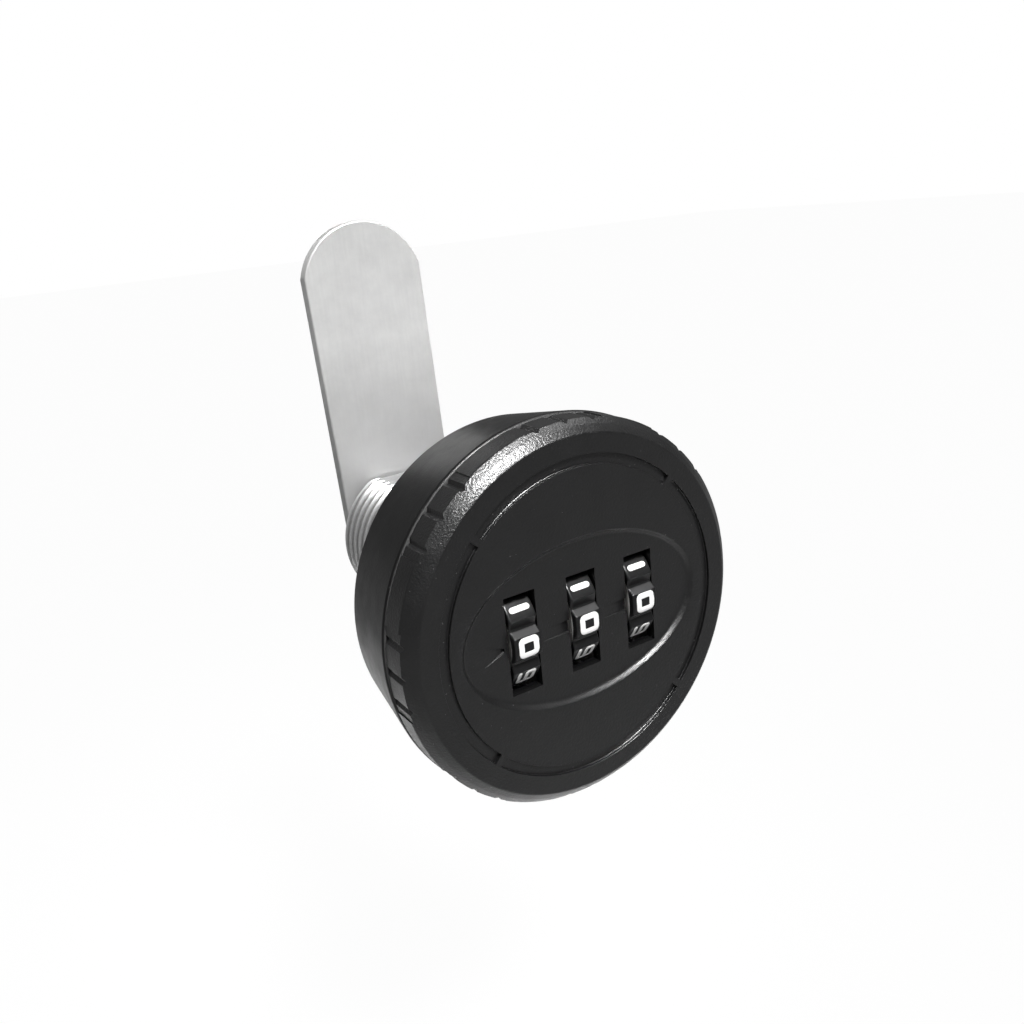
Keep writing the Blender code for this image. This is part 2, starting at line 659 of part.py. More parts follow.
def make_number_wheel(side, x, finish):
    """A dial with a counterbore on its left for the code disc's flange."""
    name = "number_wheel_" + side
    half = DIAL_WIDTH / 2
    mesh = along_x(slab_mesh(name, wheel_outline(), -half, half, DIAL_EDGE), x)
    wheel = new_object(name, mesh, finish)
    floor = x + DISC_FLANGE_RIGHT + GAP
    cut(wheel, "counterbore", axle_hole_mesh(FLANGE_RADIUS + GAP, x - DIAL_WIDTH, floor, MEDIUM))
    cut(wheel, "bore", axle_hole_mesh(AXLE_RADIUS + GAP, x - DIAL_WIDTH, x + DIAL_WIDTH))
    cut(wheel, "peg_holes", peg_mesh("peg_holes", PEG_RADIUS + GAP, floor - GAP, floor + PEG_LENGTH))
    return wheel


def make_code_disc(side, x, finish):
    """A gated disc whose flange lies in the dial's side and drives it through two pegs."""
    name = "code_disc_" + side
    left, step, right = x - DISC_REACH, x + DISC_FLANGE_LEFT, x + DISC_FLANGE_RIGHT
    profile = [
        (0, left),
        (DISC_RADIUS - DISC_EDGE, left),
        (DISC_RADIUS, left + DISC_EDGE),
        (DISC_RADIUS, step),
        (FLANGE_RADIUS - DISC_EDGE, step),
        (FLANGE_RADIUS, step + DISC_EDGE),
        (FLANGE_RADIUS, right),
        (0, right),
    ]
    mesh = turned_mesh(name, profile, MEDIUM, True, (0, DIAL_Y, DIAL_Z))
    disc = new_object(name, mesh, finish)
    join(disc, "pegs", peg_mesh("pegs", PEG_RADIUS, right - DISC_FLANGE / 2, right + PEG_LENGTH))
    gate_top = DIAL_Z - DISC_RADIUS + GATE_DEPTH
    low = (left - GAP, BOLT_Y - GATE_WIDTH / 2, gate_top - 3 * GATE_DEPTH)
    high = (x + FINGER_OFFSET + FINGER_WIDTH / 2 + GAP, BOLT_Y + GATE_WIDTH / 2, gate_top)
    cut(disc, "gate", boxes_mesh("gate", [(low, high)]))
    cut(disc, "bore", axle_hole_mesh(AXLE_RADIUS + GAP, x - 2 * DIAL_WIDTH, x + DIAL_WIDTH))
    return disc


def make_dial_axle(finish):
    head = CARRIAGE_LEFT - STACK_GAP - AXLE_HEAD_LENGTH
    edge = 0.25 * MM
    profile = [
        (0, head),
        (AXLE_HEAD_RADIUS - edge, head),
        (AXLE_HEAD_RADIUS, head + edge),
        (AXLE_HEAD_RADIUS, head + AXLE_HEAD_LENGTH),
        (AXLE_RADIUS, head + AXLE_HEAD_LENGTH),
        (AXLE_RADIUS, CARRIAGE_RIGHT - edge),
        (AXLE_RADIUS - edge, CARRIAGE_RIGHT),
        (0, CARRIAGE_RIGHT),
    ]
    mesh = turned_mesh("dial_axle", profile, SMALL, True, (0, DIAL_Y, DIAL_Z))
    return new_object("dial_axle", mesh, finish)


def make_click_spring(side, x, finish):
    """A leaf under the top rail, with a V that drops into the groove between two digits."""
    name = "click_spring_" + side
    under_rail = SLOT_TOP - GAP
    tip = DIAL_Z + DIAL_RADIUS - CLICK_BITE
    path = [
        (CARRIAGE_BACK - CLICK_HALF_WIDTH, under_rail),
        (DIAL_Y + CLICK_HALF_WIDTH, under_rail),
        (DIAL_Y, tip + SPRING_STRIP),
        (DIAL_Y - CLICK_HALF_WIDTH, under_rail),
        (DIAL_Y - CLICK_HALF_WIDTH - CLICK_TAIL, under_rail),
    ]
    outline = path + [(y, z - SPRING_STRIP) for y, z in path[::-1]]
    bm = bmesh.new()
    start = x - SPRING_STRIP_WIDTH / 2
    face = bm.faces.new([bm.verts.new((start, y, z)) for y, z in outline])
    made = bmesh.ops.extrude_face_region(bm, geom=[face])["geom"]
    moved = [part for part in made if isinstance(part, bmesh.types.BMVert)]
    bmesh.ops.translate(bm, verts=moved, vec=(SPRING_STRIP_WIDTH, 0, 0))
    return new_object(name, finish_mesh(bm, name), finish)


def slot_boxes():
    front, back = CARRIAGE_FRONT - GAP, CARRIAGE_BACK + GAP
    return [
        ((x + SLOT_LEFT, front, SLOT_BOTTOM), (x + SLOT_RIGHT, back, SLOT_TOP))
        for x in DIAL_PLACES.values()
    ]


def finger_channels(low, high):
    half = FINGER_WIDTH / 2 + GAP
    thick = BOLT_THICKNESS / 2 + GAP
    middles = [x + FINGER_OFFSET for x in DIAL_PLACES.values()]
    return [((x - half, BOLT_Y - thick, low), (x + half, BOLT_Y + thick, high)) for x in middles]


def shaft_mesh():
    """Drive shaft with its head, turned in one with the carriage."""
    profile = [
        (0, SHAFT_HEAD_FRONT),
        (SHAFT_HEAD_RADIUS, SHAFT_HEAD_FRONT),
        (SHAFT_HEAD_RADIUS, SHAFT_HEAD_BACK),
        (SHAFT_RADIUS, SHAFT_HEAD_BACK),
        (SHAFT_RADIUS, SHAFT_SHOULDER),
        (0, SHAFT_SHOULDER),
    ]
    return turned_mesh("shaft", profile, MEDIUM)


def carriage_block(finish):
    left, right, low, high = CARRIAGE_LEFT, CARRIAGE_RIGHT, CARRIAGE_BOTTOM, CARRIAGE_TOP
    corner = CARRIAGE_CORNER
    outline = [
        (left + corner, low),
        (right - corner, low),
        (right, low + corner),
        (right, high - corner),
        (right - corner, high),
        (left + corner, high),
        (left, high - corner),
        (left, low + corner),
    ]
    block = slab_mesh("dial_carriage", outline, CARRIAGE_FRONT, CARRIAGE_BACK, corner / 4)
    return new_object("dial_carriage", block, finish)


def add_bolt_bracket(carriage, web_back):
    """A web under the carriage with a shelf for the springs and a slot for the bolt's nose."""
    wide = BRACKET_HALF_WIDTH
    shelf_back = BOLT_Y + BOLT_THICKNESS / 2 + GAP
    web = ((-wide, web_back - BRACKET_WEB, SHELF_BOTTOM), (wide, web_back, CARRIAGE_BOTTOM + GAP))
    join(carriage, "bolt_bracket", boxes_mesh("bolt_bracket", [web]))
    shelf = ((-wide, web_back - BRACKET_WEB / 2, SHELF_BOTTOM), (wide, shelf_back, SHELF_TOP))
    join(carriage, "spring_shelf", boxes_mesh("spring_shelf", [shelf]))


def add_ears(carriage):
    """Four ears that the carriage screws go through."""
    edge = BOSS_RADIUS * 0.92
    for number, (x, z) in enumerate(EAR_PLACES, 1):
        inner = CARRIAGE_BOTTOM + EAR_ROOT if z < 0 else CARRIAGE_TOP - EAR_ROOT
        arm = ((x - edge, EAR_FRONT, min(z, inner)), (x + edge, EAR_BACK, max(z, inner)))
        join(carriage, "ear_arm_" + str(number), boxes_mesh("ear_arm", [arm]))
        ear = drill_mesh("ear", [(x, z)], BOSS_RADIUS - GAP / 3, EAR_FRONT, EAR_BACK)
        join(carriage, "ear_" + str(number), ear)


def make_dial_carriage(finish):
    carriage = carriage_block(finish)
    web_back = BOLT_Y - BOLT_THICKNESS / 2 - GAP
    add_bolt_bracket(carriage, web_back)
    add_ears(carriage)
    tab_back = CARRIAGE_BACK - STOP_TAB_INSET
    tab = (
        (-STOP_TAB_HALF_WIDTH, tab_back - STOP_TAB_DEPTH, CARRIAGE_TOP - TOP_RAIL / 2),
        (STOP_TAB_HALF_WIDTH, tab_back, STOP_TAB_REACH),
    )
    join(carriage, "stop_tab", boxes_mesh("stop_tab", [tab], 0.2 * MM))
    cut(carriage, "dial_slots", boxes_mesh("dial_slots", slot_boxes()))
    channels = finger_channels(CARRIAGE_BOTTOM - GAP, SLOT_BOTTOM + GAP)
    cut(carriage, "finger_channels", boxes_mesh("finger_channels", channels))
    half = BOLT_NOSE_HALF_WIDTH + GAP
    nose_slot = (
        (-half, web_back - 0.01 * MM, SHELF_BOTTOM - GAP),
        (half, BOLT_Y + BOLT_THICKNESS, SHELF_TOP + GAP),
    )
    cut(carriage, "nose_slot", boxes_mesh("nose_slot", [nose_slot]))
    axle_bore = axle_hole_mesh(AXLE_RADIUS + GAP, CARRIAGE_LEFT - GAP, CARRIAGE_RIGHT + GAP)
    cut(carriage, "axle_bore", axle_bore)
    join(carriage, "drive_shaft", shaft_mesh())
    roots = []
    for x in (-DIAL_PITCH, 0.0):
        left, right = x + SLOT_RIGHT, x + DIAL_PITCH + SLOT_LEFT
        low = (left, CARRIAGE_BACK - 0.5 * MM, -WALL_ROOT_HALF)
        high = (right, SHAFT_HEAD_FRONT + 0.2 * MM, WALL_ROOT_HALF)
        roots.append((low, high))
    join(carriage, "wall_roots", boxes_mesh("wall_roots", roots))
    tenon = TENON_SIDE / 2
    end = ((-tenon, SHAFT_SHOULDER - 1 * MM, -tenon), (tenon, TENON_BACK, tenon))
    join(carriage, "tenon", boxes_mesh("tenon", [end], 0.15 * MM))
    deep = SCREW_HEAD_FRONT - CAM_SCREW_REACH - GAP
    thread = drill_mesh("cam_screw_hole", [(0, 0)], CAM_SCREW_RADIUS + GAP, deep, TENON_BACK + GAP)
    cut(carriage, "cam_screw_hole", thread)
    through = drill_mesh("ear_holes", EAR_PLACES, SCREW_RADIUS + GAP, EAR_FRONT - GAP, EAR_BACK + GAP)
    cut(carriage, "ear_holes", through)
    sink_floor = EAR_BACK - SCREW_HEAD_DEPTH - STACK_GAP
    sink_radius = SCREW_HEAD_RADIUS + STACK_GAP
    sinks = drill_mesh("ear_sinks", EAR_PLACES, sink_radius, sink_floor, EAR_BACK + GAP)
    cut(carriage, "ear_sinks", sinks)
    return carriage


def make_locking_bolt(finish):
    front, back = BOLT_Y - BOLT_THICKNESS / 2, BOLT_Y + BOLT_THICKNESS / 2
    bar_left = -DIAL_PITCH + FINGER_OFFSET - FINGER_WIDTH / 2
    bar_right = DIAL_PITCH + FINGER_OFFSET + FINGER_WIDTH / 2 + BOLT_BAR_OVERHANG
    nose, tip = BOLT_NOSE_HALF_WIDTH, BOLT_NOSE_HALF_WIDTH / 3
    outline = [
        (bar_left, BAR_BOTTOM),
        (-nose, BAR_BOTTOM),
        (-nose, NOSE_TIP + tip),
        (-nose + tip, NOSE_TIP),
        (nose - tip, NOSE_TIP),
        (nose, NOSE_TIP + tip),
        (nose, BAR_BOTTOM),
        (bar_right, BAR_BOTTOM),
        (bar_right, BAR_TOP),
    ]
    for x in sorted(DIAL_PLACES.values(), reverse=True):
        finger, half = x + FINGER_OFFSET, FINGER_WIDTH / 2
        outline += [(finger + half, BAR_TOP), (finger + half, FINGER_TIP), (finger - half, FINGER_TIP)]
        if x > -DIAL_PITCH:
            outline.append((finger - half, BAR_TOP))
    return new_object("locking_bolt", slab_mesh("locking_bolt", outline, front, back), finish)


def make_bolt_spring(side, x, finish):
    """A short coil between the bolt's bar and the carriage's shelf."""
    name = "bolt_spring_" + side
    high = BAR_BOTTOM - GAP - BOLT_SPRING_WIRE
    low = SHELF_TOP + GAP + BOLT_SPRING_WIRE
    per_turn = 12
    count = BOLT_SPRING_TURNS * per_turn + 1
    coil = bpy.data.curves.new(name, "CURVE")
    coil.dimensions = "3D"
    coil.bevel_depth = BOLT_SPRING_WIRE
    coil.bevel_resolution = 1
    coil.use_fill_caps = True
    line = coil.splines.new("POLY")
    line.points.add(count - 1)
    radius = BOLT_SPRING_RADIUS - BOLT_SPRING_WIRE
    for i, point in enumerate(line.points):
        turn = 2 * pi * i / per_turn
        z = low + (high - low) * i / (count - 1)
        point.co = (x + radius * cos(turn), BOLT_Y + radius * sin(turn), z, 1)
    thing = bpy.data.objects.new(name, coil)
    bpy.context.scene.collection.objects.link(thing)
    coil.materials.append(finish)
    return thing


def make_carriage_screw(number, x, z, finish):
    name = "carriage_screw_" + str(number)
    under = EAR_BACK - SCREW_HEAD_DEPTH
    end = EAR_BACK - SCREW_LENGTH
    edge = 0.2 * MM
    profile = [
        (0, EAR_BACK),
        (SCREW_HEAD_RADIUS - edge, EAR_BACK),
        (SCREW_HEAD_RADIUS, EAR_BACK - edge),
        (SCREW_HEAD_RADIUS, under),
        (SCREW_RADIUS, under),
        (SCREW_RADIUS, end + edge),
        (SCREW_RADIUS - edge, end),
        (0, end),
    ]
    return new_object(name, turned_mesh(name, profile, SMALL, centre=(x, 0, z)), finish)


def cam_outline():
    """Round end about the shaft, straight sides, and a wider arc at the tip with small corners."""
    half = CAM_WIDTH / 2
    steps = 20
    lower = [pi + pi * i / steps for i in range(steps + 1)]
    points = [(half * cos(a), half * sin(a)) for a in lower]
    centre = CAM_REACH - CAM_TIP_RADIUS
    corner = asin(sqrt(max(CAM_TIP_RADIUS**2 - half**2, 0.0)) / CAM_TIP_RADIUS)
    upper = [corner + (pi - 2 * corner) * i / steps for i in range(steps + 1)]
    points += [(CAM_TIP_RADIUS * cos(a), centre + CAM_TIP_RADIUS * sin(a)) for a in upper]
    return points


def make_cam(finish):
    mesh = slab_mesh("cam", cam_outline(), CAM_FRONT, CAM_BACK, CAM_EDGE)
    mesh.transform(Matrix.Rotation(-CAM_LEAN, 4, "Y"))
    cam = new_object("cam", mesh, finish)
    half = TENON_SIDE / 2 + GAP
    hole = ((-half, CAM_FRONT - GAP, -half), (half, CAM_BACK + GAP, half))
    cut(cam, "square_hole", boxes_mesh("square_hole", [hole]))
    return cam


def make_cam_washer(finish):
    back = WASHER_FRONT + WASHER_THICKNESS
    inner = CAM_SCREW_RADIUS + GAP
    edge = 0.15 * MM
    profile = [
        (inner, WASHER_FRONT),
        (WASHER_RADIUS, WASHER_FRONT),
        (WASHER_RADIUS, back - edge),
        (WASHER_RADIUS - edge, back),
        (inner, back),
    ]
    return new_object("cam_washer", turned_mesh("cam_washer", profile, MEDIUM), finish)


def make_cam_screw(finish):
    """A pan head screw: a domed head over a short straight rim."""
    front = SCREW_HEAD_FRONT
    back = front + CAM_SCREW_HEAD
    end = front - CAM_SCREW_REACH
    dome = CAM_SCREW_HEAD * 0.55
    point = 0.4 * MM
    profile = []
    for i in range(5):
        a = pi / 2 * (1 - i / 4)
        profile.append((CAM_SCREW_HEAD_RADIUS * cos(a), back - dome * (1 - sin(a))))
    profile += [
        (CAM_SCREW_HEAD_RADIUS, front),
        (CAM_SCREW_RADIUS, front),
        (CAM_SCREW_RADIUS, end + point),
        (CAM_SCREW_RADIUS - point, end),
        (0, end),
    ]
    return new_object("cam_screw", turned_mesh("cam_screw", profile, 24), finish)


def build():
    clear_scene()
    knob_black = material("satin_black_knob", (0.018, 0.018, 0.019), 0.42)
    base_black = material("black_base", (0.016, 0.016, 0.017), 0.32)
    zinc = material("zinc_casting", (0.62, 0.62, 0.63), 0.34, 0.9)
    steel = material("plated_steel", (0.68, 0.68, 0.69), 0.3, 0.95)
    dial_black = material("black_dial", (0.02, 0.02, 0.021), 0.38)
    disc_metal = material("disc_metal", (0.7, 0.69, 0.66), 0.3, 0.9)

    make_base_housing(base_black)
    make_barrel_body(zinc)
    make_panel_nut(steel)

    knob_axis = pivot("knob_axis", (0, 0, 0))
    hang(make_knob_shell(knob_black), knob_axis)
    hang(make_dial_carriage(zinc), knob_axis)
    hang(make_dial_axle(steel), knob_axis)
    hang(make_cam(steel), knob_axis)
    hang(make_cam_washer(steel), knob_axis)
    hang(make_cam_screw(steel), knob_axis)
    for number, (x, z) in enumerate(EAR_PLACES, 1):
        hang(make_carriage_screw(number, x, z, steel), knob_axis)
    for side, x in DIAL_PLACES.items():
        dial_axis = pivot("dial_axis_" + side, (x, DIAL_Y, DIAL_Z), knob_axis)
        hang(make_number_wheel(side, x, dial_black), dial_axis)
        hang(make_code_disc(side, x, disc_metal), dial_axis)
        hang(make_click_spring(side, x, steel), knob_axis)
    bolt_line = pivot("bolt_line", (0, BOLT_Y, BAR_BOTTOM), knob_axis)
    hang(make_locking_bolt(steel), bolt_line)
    for side, x in (("left", -BOLT_SPRING_OFFSET), ("right", BOLT_SPRING_OFFSET)):
        hang(make_bolt_spring(side, x, steel), knob_axis)
    bpy.context.view_layer.update()


build()
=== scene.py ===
"""Studio scene of a three-dial combination cam lock with a round black knob.

Lengths are in metres. The knob turns about the Y axis, the base's back face lies at y = 0,
and +Y points back through the door.
"""

from math import acos, asin, atan2, cos, pi, radians, sin, sqrt

import bmesh
import bpy
from mathutils import Matrix, Vector


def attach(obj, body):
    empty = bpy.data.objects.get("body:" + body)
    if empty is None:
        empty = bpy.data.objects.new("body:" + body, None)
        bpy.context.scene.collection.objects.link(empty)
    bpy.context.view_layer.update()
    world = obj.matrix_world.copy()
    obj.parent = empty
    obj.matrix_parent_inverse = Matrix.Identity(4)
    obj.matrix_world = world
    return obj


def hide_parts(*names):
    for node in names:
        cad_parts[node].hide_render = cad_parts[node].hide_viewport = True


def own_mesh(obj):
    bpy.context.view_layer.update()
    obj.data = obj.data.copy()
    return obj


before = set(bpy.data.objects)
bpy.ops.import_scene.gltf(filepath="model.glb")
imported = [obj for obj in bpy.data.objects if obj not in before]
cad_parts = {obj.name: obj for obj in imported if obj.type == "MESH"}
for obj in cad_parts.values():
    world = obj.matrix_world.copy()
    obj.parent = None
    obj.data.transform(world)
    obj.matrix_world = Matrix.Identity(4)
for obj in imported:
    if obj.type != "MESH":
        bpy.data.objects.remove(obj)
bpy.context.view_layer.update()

MM = 0.001

# Knob head
KNOB_RADIUS = 21.6 * MM
FACE_RADIUS = 20.05 * MM
CHAMFER_DEPTH = 1.4 * MM
CHAMFER_BULGE = 0.05 * MM
KNOB_FRONT = -15.5 * MM
KNOB_BACK = -11.35 * MM
SKIRT_BACK = -11.15 * MM
KNOB_CEILING = -13.7 * MM
SPIGOT_OUTER = 18.5 * MM
SPIGOT_INNER = 17.1 * MM
SPIGOT_BACK = KNOB_BACK + 0.8 * MM
GROOVE_INNER = 16.75 * MM
GROOVE_OUTER = 17.9 * MM
GROOVE_DEPTH = 0.4 * MM
GROOVE_BAR = 0.8 * MM
OVAL_HALF_LENGTH = 14.95 * MM
OVAL_HALF_HEIGHT = 8.87 * MM
OVAL_DEPTH = 0.55 * MM
OVAL_FLOOR = KNOB_FRONT + OVAL_DEPTH
ARROW_LENGTH = 2.7 * MM
ARROW_HALF_HEIGHT = 1.2 * MM
ARROW_GAP = 0.45 * MM
INDEX_HALF_HEIGHT = 0.63 * MM
INDEX_DEPTH = 0.3 * MM
INDEX_FLARE = 0.3 * MM
INDEX_GAP = 0.15 * MM
INDEX_OVERRUN = 0.1 * MM
GRIP_GROUPS = 8
NOTCH_SPACING = radians(9.3)
NOTCH_DEPTH = 0.42 * MM
NOTCH_HALF_ANGLE = radians(1.2)
LAND_DEPTH = 0.13 * MM
LAND_RAMP = radians(0.4)

# Base and barrel
BASE_DEPTH = 11.05 * MM
BASE_FRONT_RADIUS = 21.75 * MM
BASE_BACK_RADIUS = 19.9 * MM
BASE_BORE = 18.8 * MM
BASE_FLOOR = 1.0 * MM
BASE_HOLE_GAP = 0.3 * MM
BARREL_RADIUS = 9.75 * MM
HALF_FLATS = 8.5 * MM
BARREL_END = 26.2 * MM
BARREL_START = -1.3 * MM
FLANGE_FRONT = -2.4 * MM
RING_OUTER = 18.5 * MM
RING_INNER = 17.4 * MM
RING_FRONT = -10.2 * MM
BOLT_NOTCH_HALF = 2.5 * MM
BOLT_NOTCH_BACK = -7.18 * MM
SHAFT_BORE = 4.7 * MM
HEAD_BORE = 7.2 * MM
HEAD_BORE_BACK = -1.1 * MM
THREAD_PITCH = 1.5 * MM
THREAD_DEPTH = 0.55 * MM
THREAD_STEPS = 120
END_CHAMFER = 0.5 * MM
NUT_FRONT = 2.5 * MM
NUT_BACK = 6.5 * MM
NUT_CORNER = 13.28 * MM
NUT_CHAMFER = 1.1 * MM
NUT_BORE = BARREL_RADIUS + 0.2 * MM

# Dials; places of the sink, the flange and the disc are counted along X from a dial's middle
DIAL_PITCH = 7.8 * MM
DIAL_X = {"left": -DIAL_PITCH, "middle": 0.0, "right": DIAL_PITCH}
DIAL_Y = -9.38 * MM
DIAL_Z = -0.4 * MM
DIAL_RADIUS = 6.64 * MM
DIAL_HALF = 1.7 * MM
DIAL_BORE = 1.7 * MM
DIAL_STEP = radians(36)
LAND_DROP = 0.12 * MM
SINK_RADIUS = 5.9 * MM
SINK_FLOOR = -0.55 * MM
GROOVE_HALF_ANGLE = radians(6.6)
GROOVE_FLOOR_HALF_ANGLE = radians(1.2)
DIGIT_GROOVE_DEPTH = 0.62 * MM
DIAL_RIM_ROUND = 0.25 * MM
WINDOW_HALF_WIDTH = 1.9 * MM
WINDOW_HALF_HEIGHT = 5.55 * MM
FLANGE_RADIUS = 5.8 * MM
FLANGE_LEFT = -1.6 * MM
FLANGE_RIGHT = -0.85 * MM
DISC_RADIUS = 4.0 * MM
DISC_LEFT = -3.4 * MM

# Slot of a code disc: x from its dial's middle, then y and z
GATE_LOW = (-3.7 * MM, -9.58 * MM, -6.8 * MM)
GATE_HIGH = (-1.95 * MM, -7.18 * MM, -3.2 * MM)

# Cam and its fastening
CAM_FRONT = 26.6 * MM
CAM_BACK = 28.4 * MM
CAM_REACH = 42.2 * MM
CAM_WIDTH = 16.4 * MM
CAM_TIP_RADIUS = 8.5 * MM
CAM_LEAN = radians(1.6)
CAM_RIM_ROUND = 0.22 * MM
TENON_HALF = 3.3 * MM
WASHER_FRONT = 28.6 * MM
WASHER_BACK = 29.6 * MM
WASHER_RADIUS = 5.6 * MM
SCREW_FRONT = 29.8 * MM
SCREW_HEAD = 2.6 * MM
SCREW_HEAD_RADIUS = 4.0 * MM
SCREW_RADIUS = 2.0 * MM
WASHER_BORE = SCREW_RADIUS + 0.3 * MM
SCREW_TIP = 21.3 * MM
SCREW_TIP_CHAMFER = 0.4 * MM
CROSS_ARM = 2.3 * MM
CROSS_HALF = 0.42 * MM
CROSS_DEPTH = 1.4 * MM

# Numerals
NUMERAL_WIDTH = 1.62 * MM
NUMERAL_HEIGHT = 1.8 * MM
NUMERAL_STROKE = 0.66 * MM
THIN_STROKE = 0.48 * MM
STROKE_CORNER = 0.3 * MM
STROKE_STEP = 0.15 * MM
NUMERAL_RISE = 0.05 * MM
NUMERAL_LIFT = 0.005 * MM

# Camera
CAMERA_PLACE = (-53.70 * MM, -90.01 * MM, 43.10 * MM)
CAMERA_RIGHT = (0.83176, -0.54712, -0.09398)
CAMERA_DOWN = (-0.24821, -0.21510, -0.94452)
CAMERA_LENS = 33.146

# Colours
PAINT_BLACK = (0.004, 0.004, 0.0042)
PLASTIC_BLACK = (0.004, 0.004, 0.0043)
# Grey of the pale specks, partly dust and partly painted glints
DUST_AND_GLINT_GREY = (0.3, 0.3, 0.3)
# Pale grey of the painted highlight along the base's front edge
EDGE_HIGHLIGHT_GREY = (0.06, 0.06, 0.06)
# Grey of the painted shade at the cam's foot
FOOT_SHADE_GREY = (0.36, 0.36, 0.36)
# Grey of the painted shade in the roots of the barrel's thread
ROOT_SHADE_GREY = (0.05, 0.05, 0.05)
FILL_WHITE = (0.8, 0.8, 0.79)
FILL_SHADE = (0.66, 0.66, 0.64)

# Scales of the patterns, in cells per metre
PAINT_GRAIN = 3900
GLOSS_PATCHES = 420
DUST_AND_GLINT_SPECKS = 4200
METAL_GRAIN = 700
DRAWN_LINES = (2600, 2600, 160)
DIAL_GRAIN = 5200
DIAL_PATCHES = 900
FILL_PATCHES = 2200
FILL_GRAIN = 4000

# Radius that holds the windows, depths (y) over which their walls turn dull, and how dull
WINDOW_REACH = 14.8 * MM
HOLLOW = (OVAL_FLOOR + 0.35 * MM, OVAL_FLOOR + 0.8 * MM)
WINDOW_WALL_GLOSS = 0.08

# Depths (y) over which the painted highlight along the base's front edge ends
EDGE_HIGHLIGHT_DEPTHS = (-BASE_DEPTH + 0.05 * MM, -BASE_DEPTH + 0.15 * MM)

# Heights between which painted shade darkens the cam's plating towards the barrel
FOOT_SHADE_LOW = 9.0 * MM
FOOT_SHADE_HIGH = 27.0 * MM

# Studio: the world's strength at the horizon and overhead, the floor and the lamps
SKY_LOW = 0.1
SKY_HIGH = 0.42
FLOOR_HEIGHT = -0.09
FLOOR_HALF = 3.0
FLOOR_GREY = (0.75, 0.75, 0.75)
FLOOR_WHITE_SHARE = 0.97
LAMP_TARGET = (0, 0, 0.005)
KEY_LAMP = {
    "place": (0.0, -0.287, 0.41), "size": (0.15, 0.12), "power": 0.15, "spread": radians(24),
}
TOP_LAMP = {"place": (0.26, -0.05, 0.447), "size": (0.2, 0.2), "power": 0.4, "spread": pi}

# Distances that count as none when a mesh is cleaned, joined up, cut or searched
SAME_POINT = 0.0000008
NO_LENGTH = 0.0000004
ON_PLANE = 0.0000005
THREAD_WELD = 0.000002
COIL_WELD = 0.001 * MM
LEVEL = 0.0000001


def make_camera():
    """The photograph's point of view."""
    data = bpy.data.cameras.new("camera")
    data.sensor_width = 36
    data.lens = CAMERA_LENS
    data.clip_start = 0.001
    camera = bpy.data.objects.new("camera", data)
    bpy.context.scene.collection.objects.link(camera)
    right = Vector(CAMERA_RIGHT).normalized()
    up = -Vector(CAMERA_DOWN).normalized()
    back = right.cross(up).normalized()
    turn = Matrix((right, up, back)).transposed()
    camera.matrix_world = Matrix.Translation(CAMERA_PLACE) @ turn.to_4x4()
    bpy.context.scene.camera = camera


make_camera()


# Finishes


class Finish:
    """A material and its shader, with short ways to add pattern nodes."""

    def __init__(self, name, colour, roughness, metallic=0.0):
        self.material = bpy.data.materials.new(name)
        self.material.use_nodes = True
        self.nodes = self.material.node_tree.nodes
        self.links = self.material.node_tree.links
        self.shader = self.nodes["Principled BSDF"]
        self.shader.inputs["Base Color"].default_value = (*colour, 1.0)
        self.shader.inputs["Roughness"].default_value = roughness
        self.shader.inputs["Metallic"].default_value = metallic
        self.place = self.nodes.new("ShaderNodeTexCoord").outputs["Object"]
        self.normal = None

    def stretched(self, scale):
        """Object coordinates with a scale of their own along each axis."""
        mapping = self.nodes.new("ShaderNodeMapping")
        mapping.inputs["Scale"].default_value = scale
        self.links.new(self.place, mapping.inputs["Vector"])
        return mapping.outputs["Vector"]

    def noise(self, scale, detail=2.0, roughness=0.5, place=None):
        """Cloudy noise from 0 to 1."""
        node = self.nodes.new("ShaderNodeTexNoise")
        node.inputs["Scale"].default_value = scale
        node.inputs["Detail"].default_value = detail
        node.inputs["Roughness"].default_value = roughness
        self.links.new(place or self.place, node.inputs["Vector"])
        return node.outputs["Fac"]

    def axes(self):
        """Object X, Y and Z as separate values."""
        node = self.nodes.new("ShaderNodeSeparateXYZ")
        self.links.new(self.place, node.inputs["Vector"])
        return node.outputs

    def calculate(self, operation, *values):
        """The result of a Math node on one or two values."""
        node = self.nodes.new("ShaderNodeMath")
        node.operation = operation
        for socket, value in zip(node.inputs, values):
            self.links.new(value, socket)
        return node.outputs["Value"]

    def radius(self):
        """Distance from the knob's turning axis."""
        axes = self.axes()
        across = self.calculate("MULTIPLY", axes["X"], axes["X"])
        up = self.calculate("MULTIPLY", axes["Z"], axes["Z"])
        return self.calculate("SQRT", self.calculate("ADD", across, up))

    def span(self, value, low, high, out_low, out_high):
        """Map a value from one range to another, held at the ends."""
        node = self.nodes.new("ShaderNodeMapRange")
        for name, number in (
            ("From Min", low), ("From Max", high), ("To Min", out_low), ("To Max", out_high),
        ):
            node.inputs[name].default_value = number
        self.links.new(value, node.inputs["Value"])
        return node.outputs["Result"]

    def blend(self, factor, first, second):
        """Mix two colours, each a tuple or another node's output."""
        node = self.nodes.new("ShaderNodeMix")
        node.data_type = "RGBA"
        self.links.new(factor, node.inputs["Factor"])
        for socket, colour in ((node.inputs["A"], first), (node.inputs["B"], second)):
            if isinstance(colour, tuple):
                socket.default_value = (*colour, 1.0)
            else:
                self.links.new(colour, socket)
        return node.outputs["Result"]

    def bump(self, height, strength, distance):
        """Add a layer of relief over the layers before it."""
        node = self.nodes.new("ShaderNodeBump")
        node.inputs["Strength"].default_value = strength
        node.inputs["Distance"].default_value = distance
        self.links.new(height, node.inputs["Height"])
        if self.normal:
            self.links.new(self.normal, node.inputs["Normal"])
        self.normal = node.outputs["Normal"]
        self.links.new(self.normal, self.shader.inputs["Normal"])

    def feed(self, name, value):
        """Drive one of the shader's inputs."""
        self.links.new(value, self.shader.inputs[name])


